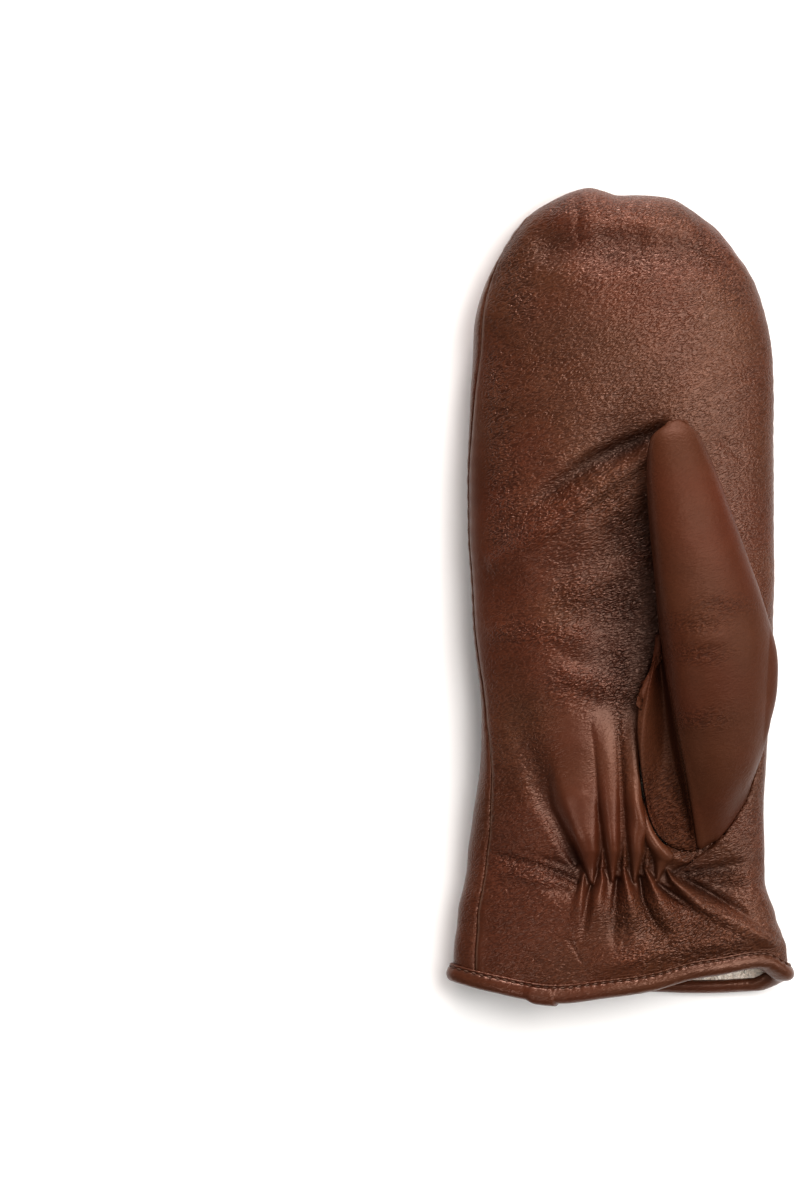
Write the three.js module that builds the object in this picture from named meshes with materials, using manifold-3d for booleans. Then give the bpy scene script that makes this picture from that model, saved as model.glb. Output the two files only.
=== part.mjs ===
// A lined leather mitten for the right hand. It lies on its back, palm up, with its thumb folded over
// the palm. Millimetres, +X to the thumb side, +Y to the fingertips, +Z up from the surface below.

import * as THREE from 'three';
import { mergeVertices } from 'three/addons/utils/BufferGeometryUtils.js';
import Module from 'manifold-3d';

const manifold = await Module();
manifold.setup();

// Overall sizes
const LENGTH = 270;
const PALM_WIDTH = 101.5;
const HAND_DEPTH = 30;
const TIP_ROUND = 24;
const CUFF_FLARE = 5;
const HEM_WAVE = 12;
const THUMB_DEPTH = 20;

// Walls and clearances
const LEATHER = 1.5;
const FLEECE = 2.8;
const FLEECE_EDGE = 1.2;
const BINDING_WALL = 1.4;
const BINDING_HEIGHT = 6.5;
const SEAM_GAP = 0.3;
const HOLE_GAP = 0.4;
const GRIP_GAP = 0.5;
const THUMB_REST_GAP = 0.8;
const FLEECE_GAP = 0.4;
const FOLD_ROOM = 1.6;
const FLUFF_RISE = 10;

// Folds
const FOLD_WIDTH = 8;
const FOLD_HEIGHT = 3;
const GUSSET_DENT = 4;
const GUSSET_DENT_END = 0.3;

// The side edges from the hem (along 0) to the start of the rounded fingertips. Left and right are
// shares of half the palm width, flare a share of the cuff's, depth a share of the hand's.
const SIDES = [
  { along: 0.016, left: -0.998, right: 0.998, flare: 1.0, depth: 0.76 },
  { along: 0.053, left: -1.011, right: 1.005, flare: 0.8, depth: 0.78 },
  { along: 0.077, left: -1.022, right: 0.989, flare: 0.5, depth: 0.8 },
  { along: 0.102, left: -1.029, right: 0.97, flare: 0.3, depth: 0.82 },
  { along: 0.126, left: -1.016, right: 0.944, flare: 0.1, depth: 0.83 },
  { along: 0.151, left: -1.0, right: 0.948, flare: 0, depth: 0.82 },
  { along: 0.175, left: -0.993, right: 0.948, flare: 0, depth: 0.82 },
  { along: 0.224, left: -0.961, right: 0.941, flare: 0, depth: 0.88 },
  { along: 0.273, left: -0.922, right: 0.954, flare: 0, depth: 0.94 },
  { along: 0.322, left: -0.909, right: 0.967, flare: 0, depth: 0.98 },
  { along: 0.371, left: -0.915, right: 0.98, flare: 0, depth: 1.0 },
  { along: 0.42, left: -0.948, right: 0.993, flare: 0, depth: 1.0 },
  { along: 0.493, left: -0.974, right: 1.007, flare: 0, depth: 1.0 },
  { along: 0.591, left: -1.0, right: 1.007, flare: 0, depth: 1.0 },
  { along: 0.689, left: -0.993, right: 1.0, flare: 0, depth: 0.99 },
  { along: 0.787, left: -0.967, right: 1.0, flare: 0, depth: 0.95 },
  { along: 0.836, left: -0.948, right: 0.961, flare: 0, depth: 0.91 },
  { along: 0.885, left: -0.876, right: 0.876, flare: 0, depth: 0.85 },
  { along: 0.934, left: -0.739, right: 0.7, flare: 0, depth: 0.76 },
];

// The outline round the fingertips, from the left corner (across -1) to the right one.
const FINGERTIPS = [
  { across: -1.0, along: 0.934 },
  { across: -0.891, along: 0.955 },
  { across: -0.756, along: 0.972 },
  { across: -0.602, along: 0.983 },
  { across: -0.439, along: 0.994 },
  { across: -0.258, along: 1.0 },
  { across: -0.131, along: 0.996 },
  { across: -0.014, along: 0.991 },
  { across: 0.195, along: 0.991 },
  { across: 0.394, along: 0.989 },
  { across: 0.538, along: 0.984 },
  { across: 0.665, along: 0.973 },
  { across: 0.792, along: 0.961 },
  { across: 0.9, along: 0.949 },
  { across: 1.0, along: 0.934 },
];

// How far the hem lies above its lowest point, on the palm side and on the back, as shares of the wave.
const HEM = [
  { across: -1.0, palm: 0.55, back: 0.55 },
  { across: -0.78, palm: 0.3, back: 0.3 },
  { across: -0.41, palm: 0, back: 0.05 },
  { across: -0.09, palm: 0.13, back: 0.1 },
  { across: 0.18, palm: 0.28, back: 0.28 },
  { across: 0.4, palm: 0.55, back: 0.28 },
  { across: 0.6, palm: 0.72, back: 0.28 },
  { across: 0.8, palm: 0.96, back: 0.36 },
  { across: 1.0, palm: 0.8, back: 0.69 },
];

// Where the seam lies on the palm side of each edge, as a share of a quarter turn of the section.
const SEAM_WRAP = [
  { along: 0, left: 0.2, right: 0.05 },
  { along: 0.2, left: 0.38, right: 0.08 },
  { along: 0.34, left: 0.3, right: 0.06 },
  { along: 0.48, left: 0.08, right: 0.02 },
  { along: 0.66, left: 0.06, right: 0.02 },
  { along: 0.78, left: 0.2, right: 0.06 },
  { along: 0.86, left: 0.4, right: 0.15 },
  { along: 1, left: 0.5, right: 0.35 },
];

// Folds of the palm: ends as shares of half the palm width and of the length, the half-width as a
// share of FOLD_WIDTH, and the height as a share of FOLD_HEIGHT, below zero for a valley.
const FOLDS = [
  { name: 'upper gather', from: [-0.186, 0.155], to: [-0.251, 0.248], width: 0.42, height: 0.9 },
  { name: 'upper gather', from: [-0.049, 0.157], to: [-0.101, 0.256], width: 0.42, height: 1.0 },
  { name: 'upper gather', from: [0.101, 0.157], to: [0.055, 0.25], width: 0.42, height: 1.0 },
  { name: 'upper gather', from: [0.238, 0.153], to: [0.186, 0.234], width: 0.42, height: 0.9 },
  { name: 'upper valley', from: [-0.114, 0.165], to: [-0.17, 0.24], width: 0.35, height: -0.5 },
  { name: 'upper valley', from: [0.029, 0.165], to: [-0.062, 0.371], width: 0.4, height: -0.5 },
  { name: 'upper valley', from: [0.173, 0.165], to: [0.134, 0.25], width: 0.35, height: -0.5 },
  { name: 'lower gather', from: [-0.257, 0.165], to: [-0.309, 0.087], width: 0.45, height: 0.8 },
  { name: 'lower gather', from: [-0.127, 0.166], to: [-0.218, 0.082], width: 0.45, height: 1.0 },
  { name: 'lower gather', from: [0.01, 0.166], to: [0.101, 0.082], width: 0.45, height: 1.0 },
  { name: 'lower gather', from: [0.153, 0.166], to: [0.394, 0.087], width: 0.5, height: 1.0 },
  { name: 'lower gather', from: [0.303, 0.163], to: [0.655, 0.111], width: 0.5, height: 1.0 },
  { name: 'lower gather', from: [0.655, 0.111], to: [0.967, 0.082], width: 0.5, height: 0.7 },
  { name: 'lower valley', from: [-0.062, 0.146], to: [-0.062, 0.059], width: 0.5, height: -0.5 },
  { name: 'lower valley', from: [0.446, 0.148], to: [0.967, 0.1], width: 0.5, height: -0.6 },
  { name: 'gather line', from: [-0.34, 0.16], to: [0.42, 0.16], width: 0.3, height: -0.7 },
  { name: 'diagonal ridge', from: [0.186, 0.689], to: [-0.27, 0.646], width: 0.7, height: 0.8 },
  { name: 'diagonal ridge', from: [-0.27, 0.646], to: [-0.772, 0.569], width: 0.7, height: 0.7 },
  { name: 'diagonal valley', from: [0.218, 0.705], to: [-0.205, 0.676], width: 0.7, height: -0.5 },
  { name: 'diagonal valley', from: [-0.205, 0.676], to: [-0.349, 0.654], width: 0.7, height: -0.4 },
  { name: 'low band', from: [0.121, 0.545], to: [-0.316, 0.503], width: 0.8, height: 0.3 },
  { name: 'wrist hollow', from: [-0.857, 0.328], to: [-0.466, 0.233], width: 1.2, height: -0.5 },
  { name: 'wrist hollow', from: [-0.466, 0.233], to: [-0.25, 0.18], width: 1.0, height: -0.4 },
  { name: 'wrist ridge', from: [-0.8, 0.184], to: [-0.4, 0.155], width: 0.7, height: 0.6 },
  { name: 'tip hollow', from: [-0.101, 0.94], to: [0.094, 0.94], width: 0.8, height: -0.4 },
  { name: 'knuckle crease', from: [0.596, 0.747], to: [0.883, 0.772], width: 0.4, height: -0.35 },
];

// Sections of the thumb from its base seam to its tip. Each guide point has its place across and
// along, as on the hand, and its lift above the palm, as a share of the thumb's depth.
const THUMB = [
  { left: [0.498, 0.191, 0], right: [0.92, 0.405, 0], outer: [0.81, 0.262, 0], inner: [0.107, 0.371, 0] },
  { left: [0.407, 0.275, 0.32], right: [0.955, 0.43, 0.25], outer: [0.85, 0.307, 0.5], inner: [0.15, 0.4, 0.12] },
  { left: [0.316, 0.361, 0.42], right: [0.974, 0.438, 0.4], outer: [0.785, 0.364, 0.8], inner: [0.3, 0.43, 0.1] },
  { left: [0.244, 0.444, 0.45], right: [0.941, 0.463, 0.45], outer: [0.655, 0.444, 1], inner: [0.511, 0.47, 0.03] },
  { left: [0.199, 0.518, 0.45], right: [0.837, 0.524, 0.45], outer: [0.524, 0.53, 1], inner: [0.511, 0.53, 0] },
  { left: [0.16, 0.591, 0.45], right: [0.694, 0.597, 0.45], outer: [0.44, 0.601, 0.95], inner: [0.433, 0.601, 0] },
  { left: [0.147, 0.652, 0.46], right: [0.564, 0.659, 0.46], outer: [0.368, 0.659, 0.85], inner: [0.362, 0.659, 0] },
  { left: [0.175, 0.689, 0.48], right: [0.48, 0.692, 0.48], outer: [0.329, 0.694, 0.7], inner: [0.329, 0.692, 0.15] },
  { left: [0.23, 0.702, 0.5], right: [0.42, 0.703, 0.5], outer: [0.329, 0.711, 0.5], inner: [0.329, 0.711, 0.5] },
];

// How finely each form is divided
const PALM_COLUMNS = { edge: 6, gathers: 19, gathersFrom: -0.34, gathersTo: 0.48 };
const HAND_ROWS = { cuff: 2, gathers: 12, hand: 11, tip: 6, gathersFrom: 0.05, gathersTo: 0.27 };
const BACK_COLUMNS = 18;
const LINING_ROWS = { cuff: 2, hand: 9, tip: 4, cuffTo: 0.06 };
const THUMB_ROWS = 17;
const THUMB_COLUMNS = 13;
const HOLE_SIDES = 48;
const HEM_STEPS = 32;

// Shape of the section
const SECTION_FULLNESS = 0.72;
const THUMB_FULLNESS = 0.85;
const EDGE_HEIGHT = 0.42;
const BACK_DROP = 1.25;
const HEM_SETTLE = 0.12;
const HEM_SMOOTH = [0.025, 0.07];
const HALF = PALM_WIDTH / 2;
const HEM_LIFT = BINDING_WALL + GRIP_GAP;

const mix = THREE.MathUtils.lerp;
const clamp = THREE.MathUtils.clamp;
const smoothstep = THREE.MathUtils.smoothstep;

// A smooth curve through one column of a table.
function readColumn(table, key, column, at) {
  const last = table.length - 1;
  let row = 0;
  while (row < last - 1 && at > table[row + 1][key]) row += 1;
  const slope = (first, second) =>
    (table[second][column] - table[first][column]) / (table[second][key] - table[first][key]);
  const step = table[row + 1][key] - table[row][key];
  const share = clamp((at - table[row][key]) / step, 0, 1);
  const start = slope(Math.max(row - 1, 0), row + 1) * step;
  const end = slope(row, Math.min(row + 2, last)) * step;
  const cube = share ** 3;
  const square = share ** 2;
  return (
    (2 * cube - 3 * square + 1) * table[row][column] +
    (cube - 2 * square + share) * start +
    (3 * square - 2 * cube) * table[row + 1][column] +
    (cube - square) * end
  );
}

const HEM_ALONG = SIDES[0].along;
const CORNER_ALONG = SIDES[SIDES.length - 1].along;
const alongToY = (along) => (along - 0.5) * LENGTH;
const yToAlong = (y) => y / LENGTH + 0.5;

// The left and right edge in plan, drawn in by the inset.
function sideX(side, along, inset) {
  const direction = side === 'left' ? -1 : 1;
  const flare = readColumn(SIDES, 'along', 'flare', along) * CUFF_FLARE;
  return readColumn(SIDES, 'along', side, along) * HALF + direction * (flare - inset);
}

// How far up the hem lies for a place across it. Palm weight 1 is the palm's side, 0 the back's.
function hemY(across, palmWeight) {
  const palm = readColumn(HEM, 'across', 'palm', across);
  const back = readColumn(HEM, 'across', 'back', across);
  return -LENGTH / 2 + mix(back, palm, palmWeight) * HEM_WAVE + HEM_LIFT;
}

// The plan of the hand: across runs from -1 to 1, rise from 0 at the hem to 1 at the fingertips.
function handPlan(across, rise, inset, palmWeight) {
  const share = (across + 1) / 2;
  const along = mix(HEM_ALONG, CORNER_ALONG, rise);
  const left = sideX('left', along, inset);
  const right = sideX('right', along, inset);
  const crown = readColumn(FINGERTIPS, 'across', 'along', across) - CORNER_ALONG;
  const hem = hemY(across, palmWeight);
  const tip = alongToY(CORNER_ALONG + crown) - inset;
  return new THREE.Vector2(mix(left, right, share), mix(hem, tip, rise));
}

// The rounding that closes the section towards the fingertips.
function tipClosing(rise, inset) {
  const distance = (1 - rise) * (CORNER_ALONG - HEM_ALONG) * LENGTH;
  const round = TIP_ROUND - inset;
  const reach = clamp(1 - distance / round, 0, 1);
  return Math.sqrt(1 - reach * reach);
}

function smoothBump(distance, halfWidth) {
  return distance >= halfWidth ? 0 : Math.cos((Math.PI / 2) * (distance / halfWidth)) ** 2;
}

// The height that the folds add at a place on the palm.
function foldHeight(x, y) {
  const point = new THREE.Vector2(x, y);
  let ridge = 0;
  let valley = 0;
  for (const fold of FOLDS) {
    const from = new THREE.Vector2(fold.from[0] * HALF, alongToY(fold.from[1]));
    const to = new THREE.Vector2(fold.to[0] * HALF, alongToY(fold.to[1]));
    const line = to.clone().sub(from);
    const share = clamp(point.clone().sub(from).dot(line) / line.lengthSq(), 0, 1);
    const distance = point.distanceTo(from.addScaledVector(line, share));
    const height = fold.height * FOLD_HEIGHT * smoothBump(distance, fold.width * FOLD_WIDTH);
    ridge = Math.max(ridge, height);
    valley = Math.min(valley, height);
  }
  return ridge + valley;
}

// A point of the hand's skin. Turn runs round the section: 0 is the right edge, a quarter the palm's
// middle, a half the left edge. The inset draws the skin inwards, and folds says whether it is folded.
function handPoint(turn, rise, inset, folds = 0) {
  const angle = turn * 2 * Math.PI;
  const across = Math.cos(angle);
  const up = Math.sin(angle);
  const palmWeight = clamp(0.5 + up, 0, 1);
  const plan = handPlan(across, rise, inset, palmWeight);
  const along = mix(HEM_ALONG, 1, rise);
  const closing = tipClosing(rise, inset);
  const lift = HEM_LIFT * (1 - smoothstep(rise, BINDING_HEIGHT / LENGTH, HEM_SETTLE));
  const top = readColumn(SIDES, 'along', 'depth', Math.min(along, CORNER_ALONG)) * HAND_DEPTH;
  const edge = lift + (top - lift) * EDGE_HEIGHT;
  const swell = Math.abs(up) ** SECTION_FULLNESS * closing;
  let z = edge;
  if (up >= 0) {
    const fade = Math.min(1, 2 * swell) * closing * smoothstep(rise, ...HEM_SMOOTH);
    z += (top - edge - inset) * swell + folds * foldHeight(plan.x, plan.y) * fade;
  } else {
    z -= ((edge - lift) * BACK_DROP - inset) * swell;
  }
  return new THREE.Vector3(plan.x, plan.y, Math.max(z, lift + inset));
}

// The height of the palm's skin above a place in plan.
function palmHeight(x, y, folds) {
  let across = clamp(x / HALF, -1, 1);
  let rise = clamp((yToAlong(y) - HEM_ALONG) / (1 - HEM_ALONG), 0, 1);
  for (let pass = 0; pass < 8; pass += 1) {
    const plan = handPlan(across, rise, 0, 1);
    across = clamp(across + (x - plan.x) / HALF, -1, 1);
    rise = clamp(rise + (y - plan.y) / LENGTH, 0, 1);
  }
  return handPoint(Math.acos(across) / (2 * Math.PI), rise, 0, folds).z;
}

function triangleMesh(points, faces) {
  const geometry = new THREE.BufferGeometry();
  geometry.setAttribute('position', new THREE.Float32BufferAttribute(points.flatMap((p) => p.toArray()), 3));
  geometry.setIndex(faces.flat());
  const merged = mergeVertices(geometry, 0.001);
  const index = merged.getIndex().array;
  const kept = [];
  for (let i = 0; i < index.length; i += 3) {
    const [a, b, c] = [index[i], index[i + 1], index[i + 2]];
    if (a !== b && b !== c && c !== a) kept.push([a, b, c]);
  }
  merged.setIndex(kept.flat());
  return orientOutwards(merged);
}

// Turns every face round when the mesh is inside out.
function orientOutwards(geometry) {
  const position = geometry.getAttribute('position');
  const index = Array.from(geometry.getIndex().array);
  const corner = (i) => new THREE.Vector3().fromBufferAttribute(position, index[i]);
  let volume = 0;
  for (let i = 0; i < index.length; i += 3) {
    volume += corner(i).dot(corner(i + 1).cross(corner(i + 2)));
  }
  if (volume < 0) index.reverse();
  geometry.setIndex(index);
  return geometry;
}

// Faces of a grid of rows, each with the same number of points. A wrapped grid closes on itself.
function gridFaces(rows, columns, first, wrap = false) {
  const faces = [];
  const spans = wrap ? columns : columns - 1;
  for (let row = 0; row + 1 < rows; row += 1) {
    for (let column = 0; column < spans; column += 1) {
      const next = (column + 1) % columns;
      const a = first + row * columns + column;
      const b = first + row * columns + next;
      const c = first + (row + 1) * columns + next;
      const d = first + (row + 1) * columns + column;
      faces.push([a, b, c], [a, c, d]);
    }
  }
  return faces;
}

// A wall between an outer and an inner grid of points, closed along all its edges.
function wallMesh(outer, inner, wrap = false) {
  const rows = outer.length;
  const columns = outer[0].length;
  const count = rows * columns;
  const faces = gridFaces(rows, columns, 0, wrap);
  for (const [a, b, c] of gridFaces(rows, columns, count, wrap)) faces.push([a, c, b]);
  const edge = [];
  const addEdge = (from, to) => edge.push([from, to]);
  const spans = wrap ? columns : columns - 1;
  for (let column = 0; column < spans; column += 1) {
    const next = (column + 1) % columns;
    addEdge(next, column);
    addEdge((rows - 1) * columns + column, (rows - 1) * columns + next);
  }
  for (let row = 0; row + 1 < rows && !wrap; row += 1) {
    addEdge(row * columns, (row + 1) * columns);
    addEdge((row + 2) * columns - 1, (row + 1) * columns - 1);
  }
  for (const [from, to] of edge) faces.push([from, to, count + to], [from, count + to, count + from]);
  return triangleMesh([...outer.flat(), ...inner.flat()], faces);
}

function spread(from, to, count) {
  return Array.from({ length: count }, (_, i) => mix(from, to, (i + 1) / count));
}

const TIP_START = 1 - TIP_ROUND / ((CORNER_ALONG - HEM_ALONG) * LENGTH);

// Rises from the start of the rounded fingertips to their end, closer together as the skin turns down.
function tipRises(count) {
  return spread(0, 1, count).map((share) => mix(TIP_START, 1, Math.sin((share * Math.PI) / 2)));
}

// Rises of the leather's rows, close together in the gathers.
function handRises() {
  const { cuff, gathers, hand, tip, gathersFrom, gathersTo } = HAND_ROWS;
  return [
    0,
    ...spread(0, gathersFrom, cuff),
    ...spread(gathersFrom, gathersTo, gathers),
    ...spread(gathersTo, TIP_START, hand),
    ...tipRises(tip),
  ];
}

function liningRises() {
  const { cuff, hand, tip, cuffTo } = LINING_ROWS;
  return [0, ...spread(0, cuffTo, cuff), ...spread(cuffTo, TIP_START, hand), ...tipRises(tip)];
}

function wrapTurn(side, rise) {
  const share = readColumn(SEAM_WRAP, 'along', side, rise) / 4;
  return side === 'left' ? 0.5 - share : share;
}

// Turns of the palm's columns between its two seams, close together over the gathers.
function palmTurns(rise) {
  const right = wrapTurn('right', rise);
  const left = wrapTurn('left', rise);
  const acrossToTurn = (across) => Math.acos(across) / (2 * Math.PI);
  const gatherLeft = acrossToTurn(PALM_COLUMNS.gathersFrom);
  const gatherRight = acrossToTurn(PALM_COLUMNS.gathersTo);
  return [
    right,
    ...spread(right, gatherRight, PALM_COLUMNS.edge),
    ...spread(gatherRight, gatherLeft, PALM_COLUMNS.gathers),
    ...spread(gatherLeft, left, PALM_COLUMNS.edge + 1),
  ];
}

function backTurns(rise) {
  const left = wrapTurn('left', rise);
  const right = 1 + wrapTurn('right', rise);
  return [left, ...spread(left, right, BACK_COLUMNS)];
}

// A leather panel of the hand, moved away from the seam line by half the seam's gap.
function handPanel(turns, folds, side) {
  const rises = handRises();
  const seamShift = new THREE.Vector3(0, 0, (side * SEAM_GAP) / 2);
  const layer = (inset) =>
    rises.map((rise) => {
      const row = turns(rise);
      const points = row.map((turn) => handPoint(turn, rise, inset, folds));
      return points.map((point, i) => {
        const inward = i === 0 ? 1 : i === points.length - 1 ? -1 : 0;
        const along = inward === 0 ? 0 : inward > 0 ? i + 1 : i - 1;
        const shift = inward === 0 ? new THREE.Vector3() : points[along].clone().sub(point).setLength(SEAM_GAP / 2);
        const flat = Math.abs(point.z - inset) < SEAM_GAP && side < 0;
        return point.clone().add(shift).add(flat ? new THREE.Vector3() : seamShift);
      });
    });
  return wallMesh(layer(0), layer(LEATHER));
}

// The lining's inset: squeezed flat under the binding, fluffed up further in.
function fleeceInset(rise, surface) {
  const swell = smoothstep(rise * LENGTH, BINDING_HEIGHT, BINDING_HEIGHT + FLUFF_RISE);
  const squeezed = LEATHER + FLEECE_GAP + (surface === 'inner' ? FLEECE_EDGE : 0);
  const fluffed = LEATHER + FLEECE_GAP + FOLD_ROOM + (surface === 'inner' ? FLEECE : 0);
  return mix(squeezed, fluffed, swell);
}

function liningMesh() {
  const turns = Array.from({ length: HEM_STEPS }, (_, i) => i / HEM_STEPS);
  const rises = liningRises();
  const layer = (surface) =>
    rises.map((rise) => turns.map((turn) => handPoint(turn, rise, fleeceInset(rise, surface))));
  const outer = layer('outer');
  const inner = layer('inner');
  const points = [...outer.flat(), ...inner.flat()];
  const count = outer.length * HEM_STEPS;
  const faces = gridFaces(outer.length, HEM_STEPS, 0, true);
  for (const [a, b, c] of gridFaces(outer.length, HEM_STEPS, count, true)) faces.push([a, c, b]);
  for (let column = 0; column < HEM_STEPS; column += 1) {
    const next = (column + 1) % HEM_STEPS;
    faces.push([next, column, count + column], [next, count + column, count + next]);
  }
  return triangleMesh(points, faces);
}

// The folded strip that grips the hem: its section as insets from the skin and distances up from the
// hem's edge, swept round the opening.
function bindingMesh() {
  const grip = LEATHER + FLEECE_GAP + FLEECE_EDGE + GRIP_GAP;
  const outside = -GRIP_GAP - BINDING_WALL;
  const inside = grip + BINDING_WALL;
  const floor = -GRIP_GAP - BINDING_WALL;
  const top = BINDING_HEIGHT + floor;
  const round = BINDING_WALL;
  const section = [
    [-GRIP_GAP, top],
    [outside + round / 2, top],
    [outside, top - round],
    [outside, floor + round],
    [outside + round, floor],
    [inside - round, floor],
    [inside, floor + round],
    [inside, top - round],
    [inside - round / 2, top],
    [grip, top],
    [grip, -GRIP_GAP],
    [-GRIP_GAP, -GRIP_GAP],
  ];
  const points = [];
  for (let step = 0; step < HEM_STEPS; step += 1) {
    const turn = step / HEM_STEPS;
    for (const [inset, up] of section) {
      const point = handPoint(turn, Math.max(up, 0) / LENGTH, inset);
      points.push(point.setY(point.y + Math.min(up, 0)));
    }
  }
  const faces = gridFaces(HEM_STEPS + 1, section.length, 0, true);
  const count = points.length;
  return triangleMesh(points, faces.map((face) => face.map((i) => i % count)));
}

// A guide point of the thumb at a share of the way from its base to its tip: its place in plan, and
// its lift above the palm.
function thumbGuide(name, share) {
  const stations = THUMB.map((row, i) => {
    const [across, along, lift] = row[name];
    return { at: i / (THUMB.length - 1), across, along, lift };
  });
  const read = (column) => readColumn(stations, 'at', column, share);
  return new THREE.Vector3(read('across') * HALF, alongToY(read('along')), read('lift') * THUMB_DEPTH);
}

// A point of the thumb's section, with its lift for its height. Turn runs from the left seam (0) over
// the outer panel to the right seam (a half) and back along the inner panel. The inset draws it in.
function thumbSection(turn, share, inset) {
  const left = thumbGuide('left', share);
  const right = thumbGuide('right', share);
  const centre = left.clone().add(right).multiplyScalar(0.5);
  const up = Math.sin(turn * 2 * Math.PI);
  const side = Math.cos(turn * 2 * Math.PI);
  const crown = thumbGuide(up >= 0 ? 'outer' : 'inner', share).sub(centre);
  const seam = (side >= 0 ? left : right).sub(centre);
  const shrink = (vector) => vector.clone().setLength(Math.max(vector.length() - inset, vector.length() * 0.2));
  return centre
    .addScaledVector(shrink(seam), Math.abs(side) ** THUMB_FULLNESS)
    .addScaledVector(shrink(crown), Math.abs(up) ** THUMB_FULLNESS);
}

// How far the gusset dips between the palm's rim and the outer panel's left seam, from 0 to 1.
function gussetDent(turn, share) {
  if (turn < 0.75 || share > GUSSET_DENT_END) return 0;
  return (Math.sin((turn - 0.75) * 4 * Math.PI) * Math.sin((share / GUSSET_DENT_END) * Math.PI)) ** 2;
}

// A row of one thumb panel, on the palm's skin at its base (share 0) and clear of the palm elsewhere.
function thumbRow(turns, share, inset, side) {
  return turns.map((turn) => {
    const skin = thumbSection(turn, share, 0);
    const point = thumbSection(turn, share, inset);
    const folded = palmHeight(skin.x, skin.y, 1);
    const rest = share > 0 ? palmHeight(skin.x, skin.y, 0) : folded;
    point.z += rest + (side * SEAM_GAP) / 2;
    if (side < 0 && share > 0) {
      point.z += Math.max(0, folded + THUMB_REST_GAP - rest - skin.z);
      point.z -= GUSSET_DENT * gussetDent(turn, share);
    }
    return point;
  });
}

function thumbPanel(side) {
  const turns = Array.from({ length: THUMB_COLUMNS + 1 }, (_, i) => {
    const share = i / THUMB_COLUMNS / 2;
    return side > 0 ? share : 1 - share;
  });
  const shares = [0, ...spread(0, 1, THUMB_ROWS).map((share) => Math.sin((share * Math.PI) / 2) ** 0.9)];
  const layer = (inset) => {
    const rows = shares.map((share) => thumbRow(turns, share, inset, side));
    const collar = rows[0].map((point) => point.clone().setZ(point.z + THUMB_REST_GAP));
    const edge = rows[0].map((point) => point.clone().setZ(point.z - LEATHER / 2));
    return [edge, collar, ...rows.slice(1)];
  };
  return wallMesh(layer(0), layer(LEATHER));
}

// The outline of the thumb hole, a seam's gap outside the thumb's base.
function holeSolid() {
  const middle = thumbSection(0, 0, 0).add(thumbSection(0.5, 0, 0)).multiplyScalar(0.5);
  const outline = new THREE.Shape(
    Array.from({ length: HOLE_SIDES }, (_, i) => {
      const point = thumbSection(i / HOLE_SIDES, 0, 0).sub(middle).setZ(0);
      point.setLength(point.length() + HOLE_GAP);
      return new THREE.Vector2(middle.x + point.x, middle.y + point.y);
    }),
  );
  const prism = new THREE.ExtrudeGeometry(outline, { depth: HAND_DEPTH * 2, bevelEnabled: false, steps: 1 });
  prism.translate(0, 0, HAND_DEPTH * EDGE_HEIGHT);
  return prism;
}

function toSolid(geometry) {
  const plain = geometry.clone();
  plain.deleteAttribute('normal');
  plain.deleteAttribute('uv');
  const merged = mergeVertices(plain, 0.0001);
  return new manifold.Manifold(
    new manifold.Mesh({
      numProp: 3,
      vertProperties: new Float32Array(merged.getAttribute('position').array),
      triVerts: new Uint32Array(merged.getIndex().array),
    }),
  );
}

function cutThumbHole(geometry) {
  const cut = toSolid(geometry).subtract(toSolid(holeSolid())).getMesh();
  const result = new THREE.BufferGeometry();
  result.setAttribute('position', new THREE.BufferAttribute(new Float32Array(cut.vertProperties), 3));
  result.setIndex(Array.from(cut.triVerts));
  return result;
}

const leather = (color) => new THREE.MeshStandardMaterial({ color, roughness: 0.5, metalness: 0 });
const fleece = new THREE.MeshStandardMaterial({ color: 0xe4d6c4, roughness: 0.95, metalness: 0 });

const mitten = new THREE.Group();

function addPiece(name, geometry, material) {
  const mesh = new THREE.Mesh(geometry, material);
  mesh.name = name;
  mitten.add(mesh);
}

addPiece('palm_panel', cutThumbHole(handPanel(palmTurns, 1, 1)), leather(0x6a4433));
addPiece('back_panel', handPanel(backTurns, 1, -1), leather(0x643c2b));
addPiece('thumb_outer', thumbPanel(1), leather(0x5c3426));
addPiece('thumb_inner', thumbPanel(-1), leather(0x54301f));
addPiece('cuff_binding', bindingMesh(), leather(0x5f3a2c));
addPiece('lining', cutThumbHole(liningMesh()), fleece);

export default mitten;
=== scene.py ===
"""Dresses a lined leather mitten that lies palm up, with its thumb folded over the palm.

The leather panels are fine grids laid on the same skin as the solids, folded by a table of tubes,
pleats and creases. Lengths are metres unless a name says otherwise. +X is the thumb side, +Y runs to
the fingertips and +Z is up.
"""

import logging
import math
from dataclasses import dataclass, field
from enum import Enum
from typing import Sequence

import bmesh
import bpy
import numpy as np
from mathutils import Matrix, Vector, noise
from mathutils.kdtree import KDTree


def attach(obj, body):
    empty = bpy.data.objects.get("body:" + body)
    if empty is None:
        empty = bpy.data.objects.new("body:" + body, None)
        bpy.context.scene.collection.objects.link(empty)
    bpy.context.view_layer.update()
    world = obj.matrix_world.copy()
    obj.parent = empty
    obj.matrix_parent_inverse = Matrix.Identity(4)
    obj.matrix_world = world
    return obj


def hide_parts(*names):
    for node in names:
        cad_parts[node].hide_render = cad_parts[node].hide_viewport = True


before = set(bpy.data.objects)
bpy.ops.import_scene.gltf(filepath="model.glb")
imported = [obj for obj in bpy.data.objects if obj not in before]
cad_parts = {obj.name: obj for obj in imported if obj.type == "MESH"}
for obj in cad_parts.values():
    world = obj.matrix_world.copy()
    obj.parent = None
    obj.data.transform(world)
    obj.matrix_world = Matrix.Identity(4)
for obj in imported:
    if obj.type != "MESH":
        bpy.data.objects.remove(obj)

LOG = logging.getLogger("mitten")
MM = 0.001
TINY = 1e-12
PLAIN = (1.0, 1.0, 1.0)

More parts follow.
